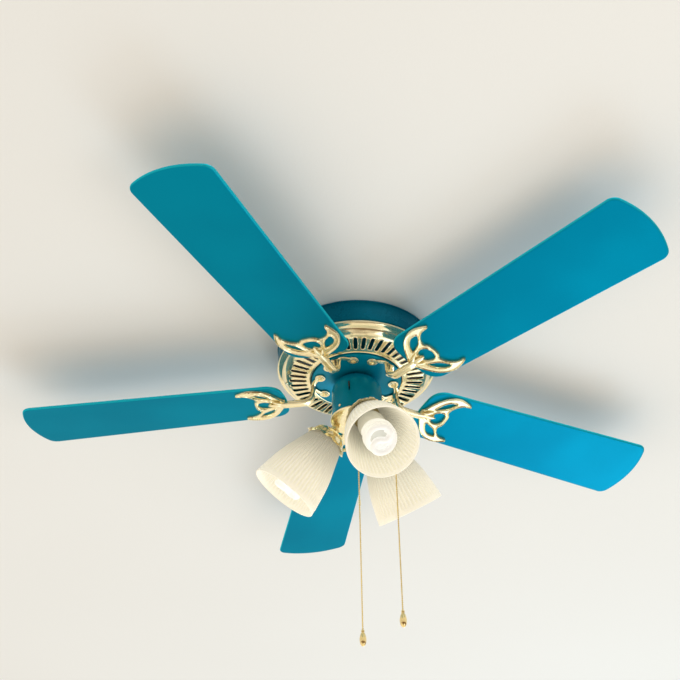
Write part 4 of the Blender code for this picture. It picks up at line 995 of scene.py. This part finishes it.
def holder_surfaces():
    """Cup with a crown of ten petals: towards the rim the radius and height follow the root of
    |cos 5a|, so the edge runs out to ten points and back between them; three thumb screws."""
    rows = smooth([(0.0, 0.0085), (0.0120, 0.0085), (0.0200, 0.0089), (0.0252, 0.0106), (0.0290, 0.0139),
                   (0.0315, 0.0178), (0.0331, 0.0214), (0.0345, 0.0246), (0.0361, 0.0274), (0.0383, 0.0299),
                   (0.0410, 0.0315)], 4)
    a = np.arange(240) * TAU / 240
    s = np.linspace(0, 1, len(rows))
    reach = (np.clip((s - 0.55) / 0.45, 0, 1) ** 1.6)[:, None]
    petal = np.abs(np.cos(5 * a)) ** 0.75
    crease = 0.0007 * np.cos(20 * a)
    r = rows[:, :1] + reach * (0.0032 * petal - 0.0022 + crease)
    z = rows[:, 1:] + reach * (0.0042 * petal - 0.0030)
    outer = np.stack([r * np.cos(a), r * np.sin(a), z], -1)
    thick = 0.0011
    r2, z2 = np.maximum(r - thick, 0), z + thick * np.clip(1.2 - s, 0.3, 1)[:, None]
    inner = np.stack([r2 * np.cos(a), r2 * np.sin(a), z2], -1)
    inner[0, :, :2] = 0
    cup = skin(np.concatenate([outer, inner[::-1]]))
    boss = turned(smooth([(0.0090, 0.0066), (0.0145, 0.0068), (0.0172, 0.0076), (0.0184, 0.0092)], 5), 48)
    surfaces = [cup, boss, cheek(-1), cheek(1)]
    for k in range(3):
        out = about("Z", 60 + 120 * k) @ move(0.0322, 0, 0.0215) @ about("Y", 90)
        surfaces.append(placed(turned([(0, 0), (0.0014, 0), (0.0014, 0.0040), (0, 0.0040)], 14), out))
        surfaces.append(placed(knurled(0.0034, 0.0040, 12), out @ move(0, 0, 0.0035)))
    return surfaces


def socket_surface():
    """Lamp socket: a ribbed sleeve with a blind bore."""
    back, end, bore = 0.0103, 0.043, 0.0139
    outside = [(0.0, back), (0.0165, back), (0.0180, back + 0.0012), (0.0180, 0.018), (0.0174, 0.0185),
               (0.0174, 0.0200), (0.0180, 0.0205), (0.0180, 0.030), (0.0174, 0.0305), (0.0174, 0.0320),
               (0.0180, 0.0325), (0.0180, end - 0.0008), (0.0172, end), (bore, end), (bore, back + 0.009),
               (0.0, back + 0.009)]
    return turned(outside, 48)


SHADE_OUTSIDE = [(0.0280, 0.0190), (0.0281, 0.0225), (0.0287, 0.0254), (0.0333, 0.0310), (0.0368, 0.0400),
                 (0.0409, 0.0520), (0.0458, 0.0670), (0.0526, 0.0880), (0.0579, 0.1110), (0.0624, 0.1390),
                 (0.0655, 0.1575)]


def shade_surface():
    """Bell of ribbed glass: each wall's radius is the bell's plus h (1 - 2 |sin 27a|^1.4), which
    makes 54 ribs; h fades at the neck and the plain rolled rim. Returns also, for each point,
    how far along it is and how far into a valley between ribs, the mask of the glass's painted shade."""
    ribs, per_rib, wall = 54, 10, 0.0029
    a = np.arange(ribs * per_rib) * TAU / (ribs * per_rib)
    outer = smooth(SHADE_OUTSIDE, 3)
    slope = np.gradient(outer, axis=0)
    slope /= np.linalg.norm(slope, axis=1)[:, None]
    normal = np.stack([slope[:, 1], -slope[:, 0]], -1)
    inner = outer - normal * wall
    inner[:3, 1], inner[-1, 1] = outer[:3, 1], outer[-1, 1]
    middle = (outer[-1] + inner[-1]) / 2
    turn_round = arc(0, 0, wall / 2, 0, 180, 6)[1:-1]
    rim = np.stack([middle[0] + turn_round[:, 0] * 1.15, middle[1] + turn_round[:, 1] * 0.9], -1)
    profile = np.vstack([outer, rim, inner[::-1]])
    z = profile[:, 1]
    height = 0.00085 * np.clip((z - 0.026) / 0.010, 0, 1) * np.clip((0.1510 - z) / 0.004, 0, 1)
    side = np.concatenate([np.ones(len(outer)), np.zeros(len(rim)), -np.ones(len(inner))])
    r = profile[:, :1] + (height * side)[:, None] * (1 - 2 * np.abs(np.sin(ribs * a / 2)) ** 1.4)
    rings = np.stack([r * np.cos(a), r * np.sin(a), profile[:, 1:] + 0 * a], -1)
    along = np.clip((rings[..., 2] - 0.026) / 0.132, 0, 1).ravel()
    # share of painted shade for the valleys between the ribs: deepest midway between two crests
    groove_shade = (height[:, None] / height.max() * np.abs(np.sin(ribs * a / 2)) ** 2).ravel()
    return skin(rings, loop=True), {"along": along, "groove_shade": groove_shade}


def base_surfaces():
    """White ballast cup with a seam round it, and the bulb's screw cap."""
    cap, seat, r = 0.0198, 0.0442, 0.0134
    z = np.linspace(cap + 0.004, seat - 0.003, 49)
    thread = np.stack([r - 0.0005 + 0.0005 * np.cos((z - cap) / 0.0036 * TAU), z], -1)
    metal_cap = turned(np.vstack([[(0, cap), (0.0060, cap), (0.0105, cap + 0.0030)], thread,
                                  [(r - 0.0004, seat), (0, seat)]]), 40)
    cup = smooth([(0.0150, seat), (0.0175, seat + 0.0012), (0.0212, seat + 0.0052), (0.0238, seat + 0.0100),
                  (0.0250, seat + 0.0180), (0.0254, seat + 0.0215)], 5)
    upper = [(0.0249, seat + 0.0219), (0.0249, seat + 0.0226), (0.0254, seat + 0.0230),
             (0.0248, BALLAST_END - 0.006), (0.0240, BALLAST_END - 0.002),
             (0.0222, BALLAST_END - 0.0003), (0.0, BALLAST_END)]
    ballast = turned(np.vstack([[0.0, seat], cup, upper]), 64)
    return ballast, metal_cap


def coil_path():
    """Spiral tube: two strands half a turn apart wind up round the axis; at the top their radius
    runs to zero, so that they meet in an S over the middle."""
    t = np.linspace(-1, 1, 421)
    s = np.abs(t)
    turns, radius, top, foot = 1.6, 0.0238, 0.1488, BALLAST_END + 0.0052
    phase = TAU * turns * s + np.where(t < 0, math.pi / 2, -math.pi / 2)
    swell = np.clip(s / 0.16, 0, 1)
    r = radius * np.sin(swell * math.pi / 2) ** 0.85
    near_foot = np.clip((s - 0.93) / 0.07, 0, 1)
    r = r * (1 - 0.38 * near_foot ** 2)
    fall = np.clip((s - 0.10) / 0.90, 0, 1)
    z = top - (top - foot) * fall ** 1.08
    return np.stack([r * np.cos(phase), r * np.sin(phase), z], -1)


def make_lamps():
    """Three lamps: each piece is worked out along its lamp's own axis, then put in its place."""
    arm, pin, holder, socket = arm_surfaces(), pin_surfaces(), holder_surfaces(), socket_surface()
    (bell, tags), (ballast, cap) = shade_surface(), base_surfaces()
    coil = skin(tube(coil_path(), 0.0058, 14))
    leaning = about("Y", 180 - LAMP_TILT)
    for k in range(LAMPS):
        knuckle = about("Z", FIRST_LAMP + k * 360 / LAMPS) @ move(PIVOT_R, 0, PIVOT_Z)
        lamp, body, n = knuckle @ leaning, f"lamp_{k + 1}", k + 1
        add_piece(f"fitter_arm_{n}", all_placed(arm, knuckle), warm_brass, "fan_body", [f"lamp_arm_{n}"])
        add_piece(f"thumb_pin_{n}", all_placed(pin, lamp), warm_brass, body, [f"knuckle_pin_{n}"])
        add_piece(f"petal_holder_{n}", all_placed(holder, lamp), brass, body, [f"lamp_holder_{n}"], sharp=50)
        add_piece(f"ribbed_socket_{n}", [placed(socket, lamp)], socket_plastic, body, [f"lamp_socket_{n}"])
        add_piece(f"ribbed_shade_{n}", [placed(bell, lamp)], glass, body, [f"glass_shade_{n}"], sharp=80,
                  tags=tags)
        add_piece(f"ballast_cup_{n}", [placed(ballast, lamp)], white_plastic, body, [f"bulb_base_{n}"])
        add_piece(f"screw_cap_{n}", [placed(cap, lamp)], zinc, body)
        add_piece(f"spiral_tube_{n}", [placed(coil, lamp)], tube_glow, body, [f"bulb_coil_{n}"], sharp=80)


make_pan()
make_lamps()

# ---- pieces carried over from the CAD ----------------------------------------------------
CARRIED = {"ceiling_plate": zinc, "motor_shaft": bearing, "stator_core": lamination,
           "stator_winding": copper, "lower_bearing": bearing, "upper_bearing": bearing,
           "capacitor": black_plastic, "reverse_slider": black_plastic}
for node_name, finish in CARRIED.items():
    for material_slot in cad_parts[node_name].material_slots:
        material_slot.material = finish
